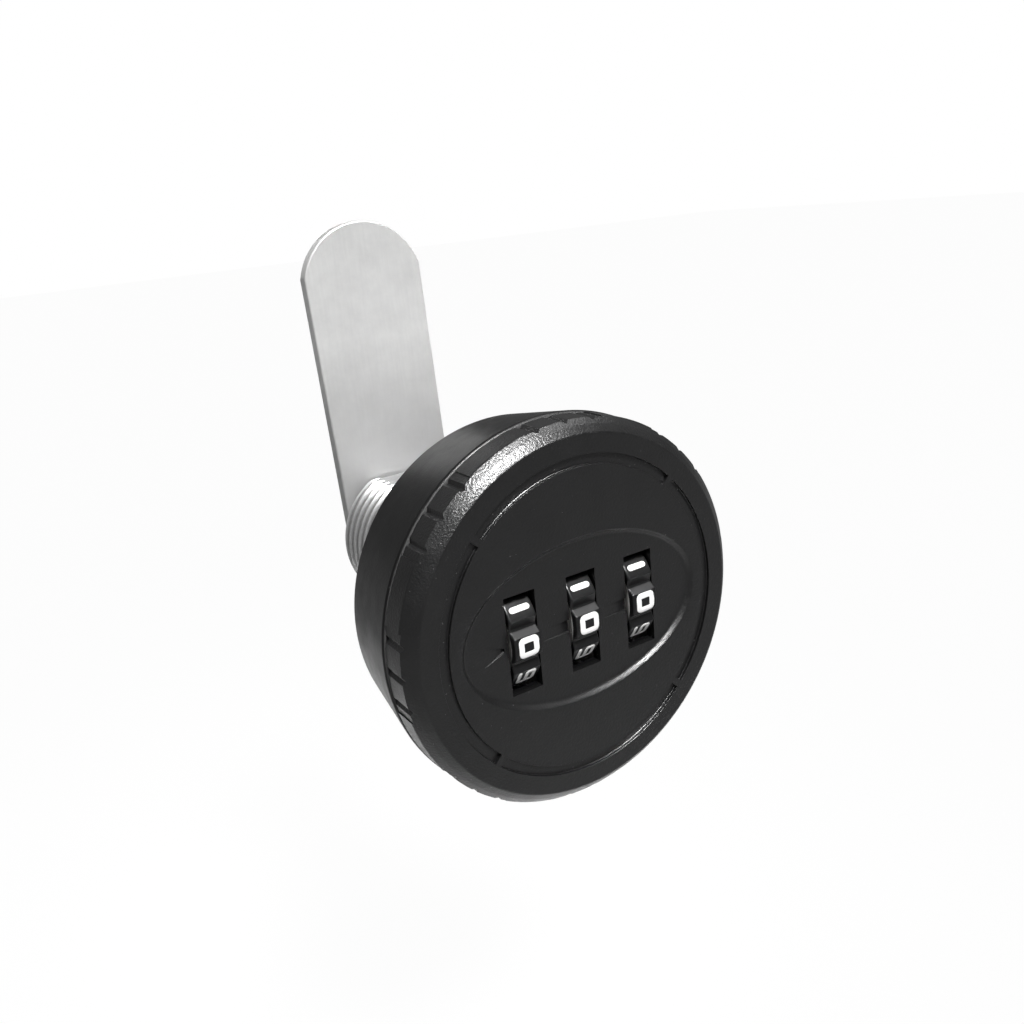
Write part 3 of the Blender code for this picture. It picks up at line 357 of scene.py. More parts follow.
def black_paint(name, colour, roughness, gloss, grain, specks, edge_highlight=None, hollow=None):
    """Textured black paint: fine grain, uneven gloss and a few pale specks of dust and painted
    glints.

    A front edge can get a painted highlight, a pale band, and the walls of the windows left dull.
    """
    paint = Finish(name, colour, roughness)
    paint.shader.inputs["Specular IOR Level"].default_value = gloss
    if hollow:
        inside = paint.span(paint.radius(), WINDOW_REACH - 0.2 * MM, WINDOW_REACH, 1.0, 0.0)
        behind = paint.span(paint.axes()["Y"], *hollow, 0.0, 1.0)
        darkening = paint.calculate("MULTIPLY", inside, behind)
        paint.feed("Specular IOR Level", paint.span(darkening, 0.0, 1.0, gloss, WINDOW_WALL_GLOSS))
    paint.bump(paint.noise(PAINT_GRAIN, detail=2.0, roughness=0.6), grain, 0.06 * MM)
    patches = paint.noise(GLOSS_PATCHES, detail=3.0)
    paint.feed("Roughness", paint.span(patches, 0.3, 0.7, roughness - 0.04, roughness + 0.05))
    # Pale specks: partly dust, partly painted glints of light on the grain
    dust_and_glints = paint.span(paint.noise(DUST_AND_GLINT_SPECKS, detail=0.0), 0.85, 0.87, 0.0, specks)
    tone = paint.blend(dust_and_glints, colour, DUST_AND_GLINT_GREY)
    if edge_highlight:
        # Painted highlight: a pale band along the front edge stands for the light that the edge
        # catches
        edge = paint.span(paint.axes()["Y"], *edge_highlight, 1.0, 0.0)
        tone = paint.blend(edge, tone, EDGE_HIGHLIGHT_GREY)
    paint.feed("Base Color", tone)
    return paint.material


def bright_metal(
    name, colour, shade, roughness, clouds, grain, metallic=0.8, foot_shade=0.0, root_shade=0.0,
):
    """Plated metal with soft clouds of tone and faint drawn lines.

    The cam's foot can get painted shade, darker than its tip, and the roots of the barrel's thread
    painted shade, darker than the crests.
    """
    metal = Finish(name, colour, roughness, metallic)
    cloud = metal.noise(clouds, detail=7.0, roughness=0.66)
    along = metal.stretched(DRAWN_LINES)
    lines = metal.noise(1.0, detail=3.0, roughness=0.6, place=along)
    tone = metal.blend(metal.span(cloud, 0.3, 0.85, 0.0, 0.8), colour, shade)
    tone = metal.blend(metal.span(lines, 0.3, 0.8, 0.0, 0.25), tone, shade)
    # Painted shade: the cam's plating turns darker towards the barrel, where the knob and base
    # shade it
    if foot_shade:
        darkening = metal.span(metal.axes()["Z"], FOOT_SHADE_LOW, FOOT_SHADE_HIGH, foot_shade, 0.0)
        tone = metal.blend(darkening, tone, FOOT_SHADE_GREY)
    # Painted shade: the thread's roots turn darker than its crests, except on the flats
    if root_shade:
        root, crest = BARREL_RADIUS - THREAD_DEPTH, BARREL_RADIUS - 0.1 * MM
        depth = metal.span(metal.radius(), root, crest, root_shade, 0.0)
        height = metal.calculate("ABSOLUTE", metal.axes()["Z"])
        off_flats = metal.span(height, HALF_FLATS - 0.3 * MM, HALF_FLATS - 0.05 * MM, 1.0, 0.0)
        tone = metal.blend(metal.calculate("MULTIPLY", depth, off_flats), tone, ROOT_SHADE_GREY)
    metal.feed("Base Color", tone)
    metal.feed("Roughness", metal.span(cloud, 0.3, 0.7, roughness - 0.04, roughness + 0.1))
    metal.bump(lines, grain * 0.5, 0.02 * MM)
    metal.bump(metal.noise(METAL_GRAIN, detail=3.0, roughness=0.6), grain, 0.03 * MM)
    return metal.material


def dial_plastic():
    """Moulded black plastic with a faint grain."""
    plastic = Finish("dial_black", PLASTIC_BLACK, 0.3)
    plastic.shader.inputs["Specular IOR Level"].default_value = 0.55
    plastic.bump(plastic.noise(DIAL_GRAIN), 0.15, 0.03 * MM)
    patches = plastic.noise(DIAL_PATCHES)
    plastic.feed("Roughness", plastic.span(patches, 0.3, 0.7, 0.28, 0.36))
    return plastic.material


def numeral_paint():
    """White filling of the numerals, slightly uneven."""
    paint = Finish("numeral_white", FILL_WHITE, 0.45)
    tone = paint.span(paint.noise(FILL_PATCHES), 0.35, 0.75, 0.0, 0.35)
    paint.feed("Base Color", paint.blend(tone, FILL_WHITE, FILL_SHADE))
    paint.bump(paint.noise(FILL_GRAIN, detail=1.0), 0.1, 0.02 * MM)
    return paint.material


KNOB_BLACK = black_paint(
    "knob_satin_black", PAINT_BLACK,
    roughness=0.325, gloss=0.75, grain=0.75, specks=0.45, hollow=HOLLOW,
)
BASE_BLACK = black_paint(
    "base_satin_black", PAINT_BLACK,
    roughness=0.32, gloss=0.33, grain=0.3, specks=0.2, edge_highlight=EDGE_HIGHLIGHT_DEPTHS,
)
DIAL_BLACK = dial_plastic()
NUMERAL_WHITE = numeral_paint()
CAM_PLATE = bright_metal(
    "cam_zinc_plate", (0.92, 0.92, 0.91), (0.66, 0.66, 0.66),
    roughness=0.32, clouds=150, grain=0.08, metallic=0.5, foot_shade=0.8,
)
BARREL_ZINC = bright_metal(
    "barrel_zinc", (0.7, 0.7, 0.7), (0.3, 0.3, 0.3),
    roughness=0.32, clouds=900, grain=0.4, metallic=0.85, root_shade=1.0,
)
FASTENER_STEEL = bright_metal(
    "fastener_steel", (0.74, 0.74, 0.74), (0.55, 0.55, 0.55),
    roughness=0.32, clouds=300, grain=0.12,
)
DISC_PLATE = bright_metal(
    "disc_light_metal", (0.94, 0.93, 0.9), (0.8, 0.79, 0.76),
    roughness=0.32, clouds=600, grain=0.1,
)
INNER_ZINC = bright_metal(
    "inner_zinc", (0.34, 0.34, 0.34), (0.2, 0.2, 0.2),
    roughness=0.5, clouds=300, grain=0.2,
)


# Making of pieces


def ring_point(radius, angle, y):
    """A point at an angle round the knob's axis, counted from +X towards +Z."""
    return Vector((radius * cos(angle), y, radius * sin(angle)))


def tidy_faces(bm):
    """Join equal points, drop edges without length and turn all faces outwards."""
    bmesh.ops.remove_doubles(bm, verts=bm.verts, dist=SAME_POINT)
    bmesh.ops.dissolve_degenerate(bm, edges=bm.edges, dist=NO_LENGTH)
    bmesh.ops.recalc_face_normals(bm, faces=bm.faces)


def store(bm, name):
    """Clean a bmesh and keep it as a mesh."""
    tidy_faces(bm)
    mesh = bpy.data.meshes.new(name)
    bm.to_mesh(mesh)
    bm.free()
    return mesh


def put(name, mesh, material):
    """Place a mesh in the scene, at the origin, with one material or none."""
    thing = bpy.data.objects.new(name, mesh)
    bpy.context.scene.collection.objects.link(thing)
    if material:
        mesh.materials.clear()
        mesh.materials.append(material)
    return thing


def carved(name, mesh, steps):
    """Apply a row of Boolean steps, each an operation and a mesh, and return the result."""
    work = put(name + "_work", mesh, None)
    cutters = []
    for operation, shape in steps:
        cutter = put(name + "_cutter", shape, None)
        cutter.hide_render = True
        step = work.modifiers.new("step", "BOOLEAN")
        step.operation = operation
        step.solver = "EXACT"
        step.object = cutter
        cutters.append(cutter)
    graph = bpy.context.evaluated_depsgraph_get()
    result = bpy.data.meshes.new_from_object(work.evaluated_get(graph))
    result.name = name
    for thing in cutters + [work]:
        bpy.data.objects.remove(thing)
    return result


def show(name, mesh, material, body, nodes=(), sharp=30, even=False):
    """Smooth a finished piece, hang it on its body and hide the solids it stands for."""
    piece = put(name, mesh, material)
    mesh.shade_smooth()
    mesh.set_sharp_from_angle(angle=radians(sharp))
    if even:
        weigh = piece.modifiers.new("even_normals", "WEIGHTED_NORMAL")
        weigh.keep_sharp = True
        weigh.weight = 100
    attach(piece, body)
    if nodes:
        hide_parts(*nodes)
    return piece


def turned(name, profile, steps, along_x=False, centre=(0, 0, 0)):
    """Spin a closed (radius, length) profile about the Y axis, or lay it along X."""
    bm = bmesh.new()
    points = [bm.verts.new((radius, length, 0)) for radius, length in profile]
    edges = [bm.edges.new((a, b)) for a, b in zip(points, points[1:] + points[:1])]
    bmesh.ops.spin(
        bm, geom=points + edges, cent=(0, 0, 0), axis=(0, 1, 0),
        angle=2 * pi, steps=steps, use_merge=True,
    )
    if along_x:
        bmesh.ops.rotate(bm, verts=bm.verts, matrix=Matrix.Rotation(-pi / 2, 3, "Z"))
    bmesh.ops.translate(bm, verts=bm.verts, vec=centre)
    return store(bm, name)


def rounded(profile, corners, segments=4):
    """Replace corners of a profile, given by index and radius, with arcs."""
    points = []
    count = len(profile)
    for i, here in enumerate(profile):
        radius = corners.get(i, 0.0)
        here = Vector(here)
        if not radius:
            points.append(tuple(here))
            continue
        before = (Vector(profile[i - 1]) - here).normalized()
        after = (Vector(profile[(i + 1) % count]) - here).normalized()
        half = acos(max(-1.0, min(1.0, before.dot(after)))) / 2
        reach = radius / (sin(half) / cos(half))
        centre = here + (before + after).normalized() * (radius / sin(half))
        start = here + before * reach - centre
        end = here + after * reach - centre
        first = atan2(start[1], start[0])
        sweep = atan2(end[1], end[0]) - first
        if sweep > pi:
            sweep -= 2 * pi
        if sweep < -pi:
            sweep += 2 * pi
        for k in range(segments + 1):
            angle = first + sweep * k / segments
            points.append((centre[0] + radius * cos(angle), centre[1] + radius * sin(angle)))
    return points


def slab(name, outline, front, back, bevel=0.0, segments=3):
    """Extrude an (x, z) outline along Y and round its two rims."""
    bm = bmesh.new()
    face = bm.faces.new([bm.verts.new((x, front, z)) for x, z in outline])
    made = bmesh.ops.extrude_face_region(bm, geom=[face])["geom"]
    moved = [part for part in made if isinstance(part, bmesh.types.BMVert)]
    bmesh.ops.translate(bm, verts=moved, vec=(0, back - front, 0))
    if bevel:
        rims = [e for e in bm.edges if abs(e.verts[0].co.y - e.verts[1].co.y) < LEVEL]
        bmesh.ops.bevel(
            bm, geom=rims, offset=bevel, segments=segments, profile=0.5,
            affect="EDGES", material=-1,
        )
    return store(bm, name)


def blocks(name, boxes):
    """Boxes from their low to their high corners, in one mesh."""
    bm = bmesh.new()
    for low, high in boxes:
        size = [b - a for a, b in zip(low, high)]
        middle = [(a + b) / 2 for a, b in zip(low, high)]
        bmesh.ops.create_cube(
            bm, size=1.0, matrix=Matrix.Translation(middle) @ Matrix.Diagonal((*size, 1.0))
        )
    return store(bm, name)


def rod(name, radius, front, back, steps):
    """A plain cylinder about the Y axis."""
    return turned(name, [(0, front), (radius, front), (radius, back), (0, back)], steps)


# Knob


def grip_outline():
    """Section through the rim: three V notches in a shallow land, eight times round."""
    points = []
    land, floor = KNOB_RADIUS - LAND_DEPTH, KNOB_RADIUS - NOTCH_DEPTH
    clear = KNOB_RADIUS * 1.03
    land_end = NOTCH_SPACING + 3.0 * NOTCH_HALF_ANGLE
    floor_half = NOTCH_HALF_ANGLE * 0.12
    for group in range(GRIP_GROUPS):
        middle = 2 * pi * group / GRIP_GROUPS
        points += [(clear, middle - land_end - LAND_RAMP), (land, middle - land_end)]
        for notch in (-1, 0, 1):
            centre = middle + notch * NOTCH_SPACING
            points += [
                (land, centre - NOTCH_HALF_ANGLE), (floor, centre - floor_half),
                (floor, centre + floor_half), (land, centre + NOTCH_HALF_ANGLE),
            ]
            if notch < 1:
                points += [(land, centre + NOTCH_SPACING * share) for share in (0.3, 0.5, 0.7)]
        points += [(land, middle + land_end), (clear, middle + land_end + LAND_RAMP)]
        points.append((clear, middle + pi / GRIP_GROUPS))
    return [(r * cos(a), r * sin(a)) for r, a in points]


def oval_cutter():
    """Flared cutter of the oval recess, with a rounded lip and a soft foot."""
    # How far outside the oval, and how deep below the knob's front, in millimetres
    levels = [
        (1.05, -0.30), (0.6, -0.02), (0.46, 0.03), (0.36, 0.1), (0.14, 0.34), (0.02, 0.45),
        (-0.12, 0.52), (-0.32, OVAL_DEPTH / MM),
    ]
    bm = bmesh.new()
    steps = 192
    previous = None
    for spread, depth in levels:
        ring = []
        for i in range(steps):
            a = 2 * pi * i / steps
            x = (OVAL_HALF_LENGTH + spread * MM) * cos(a)
            z = (OVAL_HALF_HEIGHT + spread * MM) * sin(a)
            ring.append(bm.verts.new((x, KNOB_FRONT + depth * MM, z)))
        edges = [bm.edges.new((a, b)) for a, b in zip(ring, ring[1:] + ring[:1])]
        if previous is None:
            bm.faces.new(ring)
        else:
            bmesh.ops.bridge_loops(bm, edges=previous + edges)
        previous = edges
    bm.faces.new(ring[::-1])
    return store(bm, "oval_cutter")


def groove_cutter():
    """Four arcs of the ring groove with rounded lips, which leave flush bars at 45 degrees."""
    bm = bmesh.new()
    bar = GROOVE_BAR / 2 / GROOVE_INNER
    floor, lip, foot = KNOB_FRONT + GROOVE_DEPTH, 0.03 * MM, 0.06 * MM
    section = [
        (GROOVE_INNER + foot, floor), (GROOVE_OUTER - foot, floor),
        (GROOVE_OUTER, floor - foot), (GROOVE_OUTER, KNOB_FRONT + lip),
        (GROOVE_OUTER + lip, KNOB_FRONT - 0.01 * MM), (GROOVE_OUTER + lip, KNOB_FRONT - lip),
        (GROOVE_INNER - lip, KNOB_FRONT - lip), (GROOVE_INNER - lip, KNOB_FRONT - 0.01 * MM),
        (GROOVE_INNER, KNOB_FRONT + lip), (GROOVE_INNER, floor - foot),
    ]
    for quarter in range(4):
        start = pi / 4 + quarter * pi / 2 + bar
        face = bm.faces.new([bm.verts.new(ring_point(r, start, y)) for r, y in section])
        bmesh.ops.spin(
            bm, geom=[face], cent=(0, 0, 0), axis=(0, -1, 0), angle=pi / 2 - 2 * bar, steps=56,
        )
    return store(bm, "groove_cutter")


def window_cutters():
    """Straight openings over the dials, right through the knob's face."""
    low, high = DIAL_Z - WINDOW_HALF_HEIGHT, DIAL_Z + WINDOW_HALF_HEIGHT
    front, back = KNOB_FRONT - MM, KNOB_CEILING + MM
    return blocks("window_cutter", [
        ((x - WINDOW_HALF_WIDTH, front, low), (x + WINDOW_HALF_WIDTH, back, high))
        for x in DIAL_X.values()
    ])


def index_cutters():
    """Channels that start flush and deepen to the right, and the arrow left of the dials."""
    flush = OVAL_FLOOR - 0.02 * MM
    wedges = []
    for x in (-DIAL_PITCH, 0.0):
        start = x + WINDOW_HALF_WIDTH + INDEX_GAP
        end = x + DIAL_PITCH - WINDOW_HALF_WIDTH + INDEX_OVERRUN
        wedges.append((start, end, INDEX_HALF_HEIGHT, INDEX_HALF_HEIGHT))
    tip = -DIAL_PITCH - WINDOW_HALF_WIDTH - ARROW_GAP
    wedges.append((tip - ARROW_LENGTH, tip, ARROW_HALF_HEIGHT, ARROW_HALF_HEIGHT / 10))
    bm = bmesh.new()
    for start, end, half_start, half_end in wedges:
        low = [
            (start, flush, DIAL_Z - half_start),
            (start, flush, DIAL_Z + half_start),
            (end, OVAL_FLOOR + INDEX_DEPTH, DIAL_Z + half_end),
            (end, OVAL_FLOOR + INDEX_DEPTH, DIAL_Z - half_end),
        ]
        face = bm.faces.new([bm.verts.new(point) for point in low])
        made = bmesh.ops.extrude_face_region(bm, geom=[face])["geom"]
        for part in made:
            if isinstance(part, bmesh.types.BMVert):
                part.co.y = OVAL_FLOOR - OVAL_DEPTH
                part.co.z += INDEX_FLARE if part.co.z > DIAL_Z else -INDEX_FLARE
    return store(bm, "index_cutter")


def make_knob():
    """The knob's turned profile, with grips, ring groove, oval, windows and index cut in."""
    edge = KNOB_FRONT + CHAMFER_DEPTH
    middle = (
        (FACE_RADIUS + KNOB_RADIUS) / 2 + CHAMFER_BULGE,
        KNOB_FRONT + CHAMFER_DEPTH / 2 - CHAMFER_BULGE,
    )
    outside = [
        (0, KNOB_FRONT),
        (FACE_RADIUS, KNOB_FRONT),
        middle,
        (KNOB_RADIUS, edge),
        (KNOB_RADIUS, SKIRT_BACK),
        (SPIGOT_OUTER, SKIRT_BACK),
        (SPIGOT_OUTER, SPIGOT_BACK),
        (SPIGOT_INNER, SPIGOT_BACK),
        (SPIGOT_INNER, KNOB_CEILING),
        (0, KNOB_CEILING),
    ]
    profile = rounded(outside, {1: 0.45 * MM, 2: 1.6 * MM, 3: 0.35 * MM, 4: 0.12 * MM}, 5)
    mesh = turned("knob_face", profile, 256)
    grips = slab("grips", grip_outline(), KNOB_FRONT - MM, SPIGOT_BACK + MM)
    mesh = carved("knob_face", mesh, [
        ("INTERSECT", grips),
        ("DIFFERENCE", groove_cutter()),
        ("DIFFERENCE", oval_cutter()),
        ("DIFFERENCE", window_cutters()),
        ("DIFFERENCE", index_cutters()),
    ])
    show("knob_face", mesh, KNOB_BLACK, "knob", ["knob_shell"], 34, even=True)


# Base, barrel and nut


def flat_circle(radius, half_flats, steps):
    """Outline of a circle with two flats, above and below."""
    corner = asin(half_flats / radius)
    sweep = [-corner + 2 * corner * i / steps for i in range(steps + 1)]
    return [(radius * cos(a), radius * sin(a)) for a in sweep + [pi + a for a in sweep]]


def make_base():
    """The tapered cup behind the knob, with the barrel's hole in its floor."""
    outside = [
        (BASE_BORE, -BASE_DEPTH),
        (BASE_FRONT_RADIUS, -BASE_DEPTH),
        (BASE_BACK_RADIUS, 0),
        (0, 0),
        (0, -BASE_FLOOR),
        (BASE_BORE, -BASE_FLOOR),
    ]
    profile = rounded(outside, {1: 0.4 * MM, 2: 0.3 * MM}, 5)
    mesh = turned("base_cup", profile, 256)
    hole = flat_circle(BARREL_RADIUS + BASE_HOLE_GAP, HALF_FLATS + BASE_HOLE_GAP, 40)
    mesh = carved("base_cup", mesh, [("DIFFERENCE", slab("hole", hole, -2 * MM, MM))])
    show("base_cup", mesh, BASE_BLACK, "housing", ["base_housing"], 34, even=True)


def threaded_rod():
    """A solid rod whose thread is a V section spun along its helix, cut to two flats."""
    crest, root = BARREL_RADIUS, BARREL_RADIUS - THREAD_DEPTH
    # One turn of the thread: share of the pitch, and radius
    turn_shape = [(0.0, root), (0.14, root), (0.44, crest), (0.70, crest)]
    start = BARREL_START - 2 * THREAD_PITCH
    turns = int((BARREL_END - start) / THREAD_PITCH) + 3
    bm = bmesh.new()
    chain = []
    for number in range(turns):
        for share, radius in turn_shape:
            chain.append(bm.verts.new((radius, start + (number + share) * THREAD_PITCH, 0)))
    edges = [bm.edges.new((a, b)) for a, b in zip(chain, chain[1:])]
    bmesh.ops.spin(
        bm, geom=chain + edges, cent=(0, 0, 0), axis=(0, 1, 0), angle=2 * pi, steps=THREAD_STEPS,
        dvec=(0, THREAD_PITCH / THREAD_STEPS, 0),
    )
    bmesh.ops.remove_doubles(bm, verts=bm.verts, dist=THREAD_WELD)
    for place, side in ((BARREL_START, (0, -1, 0)), (BARREL_END, (0, 1, 0))):
        trim(bm, (0, place, 0), side)
    for side in (1, -1):
        trim(bm, (0, 0, side * HALF_FLATS), (0, 0, side))
    for vert in bm.verts:
        limit = BARREL_RADIUS - max(0.0, vert.co.y - (BARREL_END - END_CHAMFER))
        out = sqrt(vert.co.x**2 + vert.co.z**2)
        if out > limit:
            vert.co.x *= limit / out
            vert.co.z *= limit / out
    return store(bm, "threaded_rod")


def trim(bm, place, normal):
    """Cut away what lies beyond a plane and close the cut."""
    geom = list(bm.verts) + list(bm.edges) + list(bm.faces)
    cut = bmesh.ops.bisect_plane(
        bm, geom=geom, dist=ON_PLANE, plane_co=place, plane_no=normal, clear_outer=True,
    )["geom_cut"]
    rim = [part for part in cut if isinstance(part, bmesh.types.BMEdge)]
    bmesh.ops.edgenet_fill(bm, edges=rim)


def make_barrel():
    """Threaded rod, drum and ring wall in one, bored for the shaft and notched for the bolt."""
    drum = [
        (0, FLANGE_FRONT),
        (RING_INNER, FLANGE_FRONT),
        (RING_INNER, RING_FRONT),
        (RING_OUTER, RING_FRONT),
        (RING_OUTER, BARREL_START),
        (0, BARREL_START),
    ]
    notch, back = BOLT_NOTCH_HALF, BOLT_NOTCH_BACK
    slots = blocks("bolt_notches", [
        ((-notch, RING_FRONT - MM, -RING_OUTER - MM), (notch, back, -RING_INNER + MM)),
        ((RING_INNER - MM, RING_FRONT - MM, -notch), (RING_OUTER + MM, back, notch)),
    ])
    mesh = carved("threaded_barrel", threaded_rod(), [
        ("UNION", turned("drum", drum, 128)),
        ("DIFFERENCE", slots),
        ("DIFFERENCE", rod("bore", SHAFT_BORE, FLANGE_FRONT - MM, BARREL_END + MM, 64)),
        ("DIFFERENCE", rod("head_bore", HEAD_BORE, FLANGE_FRONT - MM, HEAD_BORE_BACK, 64)),
    ])
    show("threaded_barrel", mesh, BARREL_ZINC, "housing", ["barrel_body"], 28)


def make_nut():
    """Hexagon nut with both corner chamfers and a bored middle."""
    outline = [(NUT_CORNER * cos(i * pi / 3), NUT_CORNER * sin(i * pi / 3)) for i in range(6)]
    flat = NUT_CORNER * cos(pi / 6)
    inner, outer = flat - 0.1 * MM, NUT_CORNER + 0.2 * MM
    dome = [
        (0, NUT_FRONT), (inner, NUT_FRONT), (outer, NUT_FRONT + NUT_CHAMFER),
        (outer, NUT_BACK - NUT_CHAMFER), (inner, NUT_BACK), (0, NUT_BACK),
    ]
    mouth = BARREL_RADIUS + 1.0 * MM
    bore = [
        (0, NUT_FRONT - MM), (mouth, NUT_FRONT - MM + 0.2 * MM), (NUT_BORE, NUT_FRONT + 0.5 * MM),
        (NUT_BORE, NUT_BACK - 0.5 * MM), (mouth, NUT_BACK + MM - 0.2 * MM), (0, NUT_BACK + MM),
    ]
    mesh = carved("hexagon_nut", slab("hexagon_nut", outline, NUT_FRONT, NUT_BACK, 0.12 * MM, 2), [
        ("INTERSECT", turned("nut_dome", dome, 128)),
        ("DIFFERENCE", turned("nut_bore", bore, 128)),
    ])
    show("hexagon_nut", mesh, FASTENER_STEEL, "housing", ["panel_nut"], 30)


# Dials


def on_dial(x, radius, angle):
    """A point on a dial: angle 0 faces the front and grows upwards."""
    return Vector((x, DIAL_Y - radius * cos(angle), DIAL_Z + radius * sin(angle)))


def dial_blank(x, name):
    """Ten round lands with a groove between each pair, extruded and rounded along its rims."""
    bm = bmesh.new()
    ring = []
    land_half = DIAL_STEP / 2 - GROOVE_HALF_ANGLE
    corner = radians(1.0)
    for digit in range(10):
        middle = digit * DIAL_STEP
        ring.append((DIAL_RADIUS - LAND_DROP, middle - land_half))
        for step in range(9):
            angle = middle - land_half + corner + 2 * (land_half - corner) * step / 8
            ring.append((DIAL_RADIUS, angle))
        ring.append((DIAL_RADIUS - LAND_DROP, middle + land_half))
        groove = middle + DIAL_STEP / 2
        for side in (-1, 1):
            ring.append((DIAL_RADIUS - DIGIT_GROOVE_DEPTH, groove + side * GROOVE_FLOOR_HALF_ANGLE))
    left = x - DIAL_HALF
    face = bm.faces.new([bm.verts.new(on_dial(left, r, a)) for r, a in ring])
    made = bmesh.ops.extrude_face_region(bm, geom=[face])["geom"]
    moved = [part for part in made if isinstance(part, bmesh.types.BMVert)]
    bmesh.ops.translate(bm, verts=moved, vec=(2 * DIAL_HALF, 0, 0))
    rims = [e for e in bm.edges if abs(e.verts[0].co.x - e.verts[1].co.x) < LEVEL]
    bmesh.ops.bevel(
        bm, geom=rims, offset=DIAL_RIM_ROUND, segments=3, profile=0.5,
        affect="EDGES", material=-1,
    )
    return store(bm, name)


def make_dial(side, x):
    """A numbered dial, sunk on its left for the code disc's flange and bored for the axle."""
    name = "number_dial_" + side
    centre = (0, DIAL_Y, DIAL_Z)
    left, floor = x - 3 * MM, x + SINK_FLOOR
    sink = [(0, left), (SINK_RADIUS, left), (SINK_RADIUS, floor), (0, floor)]
    left, right = x - 4 * MM, x + 4 * MM
    bore = [(0, left), (DIAL_BORE, left), (DIAL_BORE, right), (0, right)]
    mesh = carved(name, dial_blank(x, name), [
        ("DIFFERENCE", turned("sink", sink, 96, True, centre)),
        ("DIFFERENCE", turned("bore", bore, 32, True, centre)),
    ])
    nodes = ["number_wheel_" + side]
    show(name, mesh, DIAL_BLACK, "dial_" + side, nodes, 30, even=True)


def make_code_disc(side, x):
    """The light metal disc beside a dial, with its flange and its slot for the bolt."""
    name = "gated_disc_" + side
    outline = [
        (DIAL_BORE, x + DISC_LEFT),
        (DISC_RADIUS, x + DISC_LEFT),
        (DISC_RADIUS, x + FLANGE_LEFT),
        (FLANGE_RADIUS, x + FLANGE_LEFT),
        (FLANGE_RADIUS, x + FLANGE_RIGHT),
        (DIAL_BORE, x + FLANGE_RIGHT),
    ]
    profile = rounded(outline, {1: 0.15 * MM, 3: 0.55 * MM}, 5)
    mesh = turned(name, profile, 128, True, (0, DIAL_Y, DIAL_Z))
    gate = blocks("gate", [((x + GATE_LOW[0], *GATE_LOW[1:]), (x + GATE_HIGH[0], *GATE_HIGH[1:]))])
    mesh = carved(name, mesh, [("DIFFERENCE", gate)])
    show(name, mesh, DISC_PLATE, "dial_" + side, ["code_disc_" + side], 30)


# Centre lines of the numerals in a box one unit wide and one unit high
STROKES = {
    0: [[(0, 0), (1, 0), (1, 1), (0, 1), (0, 0)]],
    1: [[(0.5, 0), (0.5, 1)]],
    2: [[(0, 1), (1, 1), (1, 0.5), (0, 0.5), (0, 0), (1, 0)]],
    3: [[(0, 1), (1, 1), (1, 0), (0, 0)], [(0.25, 0.5), (1, 0.5)]],
    4: [[(0, 1), (0, 0.42), (1, 0.42)], [(0.8, 1), (0.8, 0)]],
    5: [[(1, 1), (0, 1), (0, 0.5), (1, 0.5), (1, 0), (0, 0)]],
    6: [[(1, 1), (0, 1), (0, 0), (1, 0), (1, 0.5), (0, 0.5)]],
    7: [[(0, 1), (1, 1), (0.45, 0)]],
    8: [[(0, 0), (1, 0), (1, 1), (0, 1), (0, 0)], [(0, 0.5), (1, 0.5)]],
    9: [[(1, 0.5), (0, 0.5), (0, 1), (1, 1), (1, 0), (0, 0)]],
}


def eased(points, closed):
    """Round the corners of a stroke so that its outer edge turns smoothly."""
    line = [Vector((u * NUMERAL_WIDTH, v * NUMERAL_HEIGHT)) for u, v in points]
    if closed:
        line = line[:-1]
    result = []
    count = len(line)
    for i, here in enumerate(line):
        if not closed and i in (0, count - 1):
            result.append(here)
            continue
        before = line[i - 1] - here
        after = line[(i + 1) % count] - here
        reach = min(STROKE_CORNER, before.length / 2, after.length / 2)
        first = here + before.normalized() * reach
        last = here + after.normalized() * reach
        for k in range(5):
            t = k / 4
            result.append(first * (1 - t) ** 2 + here * 2 * t * (1 - t) + last * t**2)
    return result


def round_end(end, inner, half):
    """Points beyond the end of a stroke, with the shares of its width that round it off."""
    out = (end - inner).normalized()
    angles = [radians(degrees) for degrees in (25, 50, 68, 82)]
    return [(end + out * half * sin(a), cos(a)) for a in angles]


def numeral_mesh(digit, x):
    """Flattened round strokes, wrapped on the dial with the numeral's top towards +X."""
    data = bpy.data.curves.new("numeral", "CURVE")
    data.dimensions = "3D"
    plain = digit in (0, 1)
    half = (NUMERAL_STROKE if plain else THIN_STROKE) / 2
    data.bevel_depth = half
    data.bevel_resolution = 3
    data.use_fill_caps = True
    for stroke in STROKES[digit]:
        closed = stroke[0] == stroke[-1]
        points = eased(stroke, closed)
        dense = []
        for a, b in zip(points, points[1:] + (points[:1] if closed else [])):
            pieces = max(1, int((b - a).length / STROKE_STEP))
            dense += [(a.lerp(b, k / pieces), 1.0) for k in range(pieces)]
        if not closed:
            dense.append((points[-1], 1.0))
            dense += round_end(points[-1], points[-2], half)
            dense = round_end(points[0], points[1], half)[::-1] + dense
        line = data.splines.new("POLY")
        line.points.add(len(dense) - 1)
        line.use_cyclic_u = closed
        for point, (at, share) in zip(line.points, dense):
            point.co = (at[0] - NUMERAL_WIDTH / 2, at[1] - NUMERAL_HEIGHT / 2, 0, 1)
            point.radius = share
    work = bpy.data.objects.new("numeral", data)
    bpy.context.scene.collection.objects.link(work)
    graph = bpy.context.evaluated_depsgraph_get()
    mesh = bpy.data.meshes.new_from_object(work.evaluated_get(graph))
    bpy.data.objects.remove(work)
    middle = digit * DIAL_STEP
    thickness = NUMERAL_RISE / data.bevel_depth
    for vert in mesh.vertices:
        across, along, up = vert.co
        radius = DIAL_RADIUS + NUMERAL_LIFT + up * thickness
        vert.co = on_dial(x + along, radius, middle - across / DIAL_RADIUS)
    return mesh


